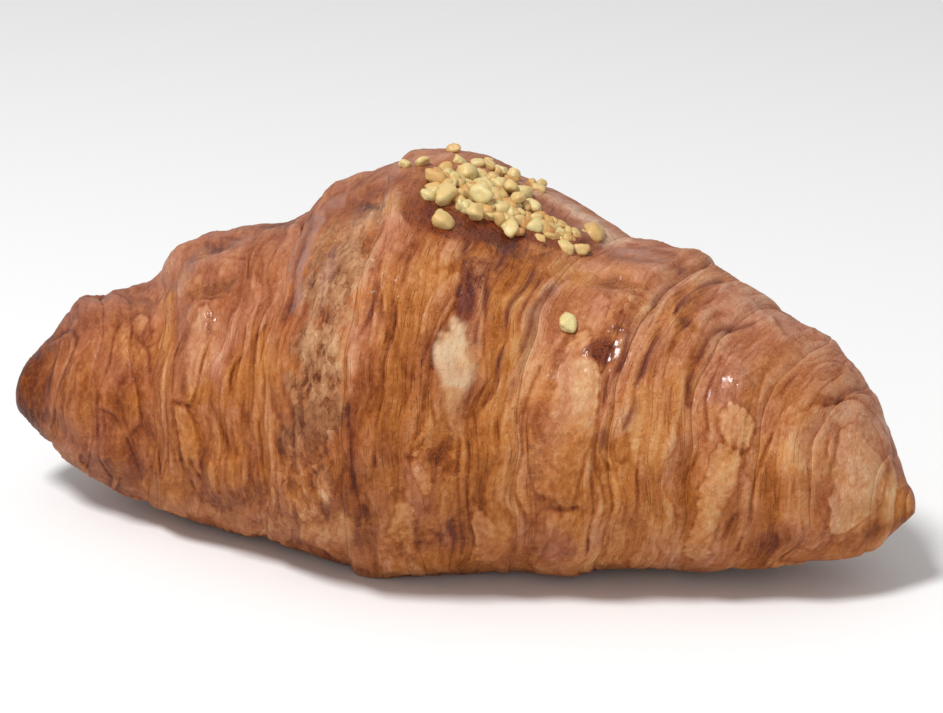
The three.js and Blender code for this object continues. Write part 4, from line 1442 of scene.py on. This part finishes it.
# %% Crust: fine tone
bands = stretched(0.50, 0.03, 2.0, 0.4)
lines = stretched(2.0, 0.07, 3.0, 0.5)
hairs = stretched(4.6, 0.20, 3.0, 0.4)
mottle = stretched(0.55, 0.45, 5.0)
crumb = stretched(1.2, 1.1, 2.0)
grain = stretched(2.3, 2.0, 4.0)
seams = abs(stretched(0.8, 0.05, 1.0, 0.3)).between(0.03, 0.0) * (mottle + crumb * 0.5).between(-0.06, 0.06)
sheet, sheet_edge = flakes(0.42, 0.10, 1.1)
scale, scale_edge = flakes(0.95, 0.55, 1.2)

layer_tone = bands * 0.24 + lines * 0.15 + hairs * 0.10 - seams * 0.16 + sheet * 0.16
flake_tone = scale * (0.10 + torn * 0.34) - sheet_edge.between(0.05, 0.0) * 0.06
flake_tone = flake_tone - scale_edge.between(0.06, 0.0) * (0.02 + torn * 0.16)
fine_tone = tone + layered * layer_tone + flake_tone + mottle * 0.18 + crumb * 0.18
fine_tone = fine_tone + grain * (0.17 + dusky * 0.30) - glaze * 0.20

# %% Crust: colours
tint_noise = stretched(0.22, 0.08, 2.0)
warm_share = (warmth + tint_noise * 1.6).between(0, 1)
baked = crust.blend(warm_share, crust.ramp(ROSY, fine_tone), crust.ramp(ORANGE, fine_tone))
strawed = crust.blend(crust.attribute("straw") * 0.85, baked, crust.ramp(STRAW, fine_tone + 0.10))
creamed = crust.blend(crust.attribute("cream") + grain * 0.25, strawed, CREAM)
plummed = crust.blend(crust.attribute("plum") * 0.75, creamed, PLUM)
# painted sheen: greyish pink over the top and in the dusky places
with_dusk_and_sheen = crust.blend(dusky * 0.6, plummed, DUSKY_SHEEN_PINK)
crust.paint(crust.blend(glaze * (0.70 + mottle * 1.1 + crumb * 0.6), with_dusk_and_sheen, GLAZE))

# %% Crust: sheen and bump
bubbles = stretched(1.5, 1.4, 1.0).between(0.02, 0.25)
sheen = gloss + glaze + mottle * 0.9 + crumb * 0.4 + bubbles * 0.35 - 0.04
crust.feed(Coat_Weight=sheen.between(0.0, 1.1) * 0.6)
crust.feed(Roughness=0.50 - gloss * 0.20 - glaze * 0.15 + grain * 0.3)

height = layered * (lines * 0.08 + hairs * 0.04 - seams * 0.09 + sheet * 0.06)
height = height + grain * (0.06 + gloss * 0.10) + crumb * 0.10 + mottle * 0.08
height = height + bubbles * bubbles * (0.06 + gloss * 0.08 + glaze * 0.26) + scale * torn * 0.12
crust.feed(Normal=crust.bump(height, 0.8, 0.002))

for wrap in wraps:
    dress(wrap, crust)
print(len(crust.tree.nodes), "nodes in the crust's finish")

# %% [markdown]
# ## The almonds' finish
# Blanched almonds are pale yellow, and browner where they were toasted more. Where they face down they are
# painted browner, as painted shade. They let a little light in, which softens their shadows.

# %% Almond finish
ALMOND_STOPS = [
    (0.0, colour(234, 215, 154)), (0.3, colour(230, 197, 130)), (0.6, colour(217, 165, 98)),
    (1.0, colour(186, 111, 62)),
]
LIGHT_DEPTH = 0.001              # metres that light goes into an almond
blanched = Finish("blanched_almond", Roughness=0.42, IOR=1.4, Subsurface_Weight=0.15,
                  Subsurface_Scale=LIGHT_DEPTH)
nut_place = blanched.node("ShaderNodeTexCoord", None, None, "Object")


def nut_noise(swings, detail):
    """Noise of about -0.5 to 0.5, with this many swings in a metre."""
    inputs = {"Vector": nut_place, "Scale": swings, "Detail": detail}
    return blanched.node("ShaderNodeTexNoise", None, inputs) - 0.5


cloudy = nut_noise(420.0, 3.0)
pores = nut_noise(1500.0, 2.0)
blanched.paint(blanched.ramp(ALMOND_STOPS, blanched.attribute("tint") * 0.62 + cloudy * 0.5 + 0.05))
blanched.feed(Normal=blanched.bump(pores, 0.3, 0.0003))
dress(almonds, blanched)
print(len(blanched.tree.nodes), "nodes in the almonds' finish")

# %% [markdown]
# ## Floor, light and camera
# Food like this is photographed on white under one broad light from above, with white all round to
# fill the shadows. The lens is long, so the near tip isn't much larger than the far one.

# %% Floor and light
FLOOR_HALF = 3.0
FLOOR_GREY = 0.82
WORLD_STRENGTH = 0.50
# name, place in metres, diameter in metres, power in watts
LAMPS = [
    ("top_light", (-0.20, -0.50, 0.95), 0.28, 10.5),
    ("front_fill", (0.5, -1.2, 0.5), 0.9, 2.6),
]
LAMP_TARGET = np.array([0, 0, 0.03])


def build_floor():
    corners = [(-FLOOR_HALF, -FLOOR_HALF, 0), (FLOOR_HALF, -FLOOR_HALF, 0),
               (FLOOR_HALF, FLOOR_HALF, 0), (-FLOOR_HALF, FLOOR_HALF, 0)]
    mesh = bpy.data.meshes.new("floor")
    mesh.from_pydata(corners, [], [(0, 1, 2, 3)])
    floor = bpy.data.objects.new("floor", mesh)
    bpy.context.scene.collection.objects.link(floor)
    finish = Finish("white_floor", Roughness=0.9, Base_Color=(*(FLOOR_GREY,) * 3, 1))
    mesh.materials.append(finish.material)


def build_light(name, place, size, power):
    lamp = bpy.data.lights.new(name, "AREA")
    lamp.shape = "DISK"
    lamp.size = size
    lamp.energy = power
    light = bpy.data.objects.new(name, lamp)
    light.location = place
    toward = np.array(place) - LAMP_TARGET
    flat = math.hypot(toward[0], toward[1])
    light.rotation_euler = (math.atan2(flat, toward[2]), 0, math.atan2(toward[0], -toward[1]))
    bpy.context.scene.collection.objects.link(light)


build_floor()
for row in LAMPS:
    build_light(*row)
world = bpy.data.worlds.new("white_room")
world.use_nodes = True
world.node_tree.nodes["Background"].inputs["Color"].default_value = (1, 1, 1, 1)
world.node_tree.nodes["Background"].inputs["Strength"].default_value = WORLD_STRENGTH
bpy.context.scene.world = world
bpy.context.scene.view_settings.view_transform = "Standard"
print(len(LAMPS), "lamps in a white room")

# %% Camera
PHOTO_WIDTH = 943                # pixels
FOCAL_PIXELS = 3195.6
AZIMUTH, ELEVATION = 18, 18      # degrees to the right of the front, and down
CAMERA_DISTANCE = 0.520
SENSOR_WIDTH = 36
AIM = (np.array([2.86, 0, 31.5]) + SHIFT) * MILLIMETRE


def build_camera():
    data = bpy.data.cameras.new("camera")
    data.sensor_width = SENSOR_WIDTH
    data.lens = FOCAL_PIXELS / PHOTO_WIDTH * SENSOR_WIDTH
    camera = bpy.data.objects.new("camera", data)
    around, above = math.radians(AZIMUTH), math.radians(ELEVATION)
    level = math.cos(above)
    back = np.array([math.sin(around) * level, -math.cos(around) * level, math.sin(above)])
    camera.location = AIM + CAMERA_DISTANCE * back
    camera.rotation_euler = (math.pi / 2 - above, 0, around)
    bpy.context.scene.collection.objects.link(camera)
    bpy.context.scene.camera = camera
    print("lens in mm:", round(data.lens, 1))


build_camera()
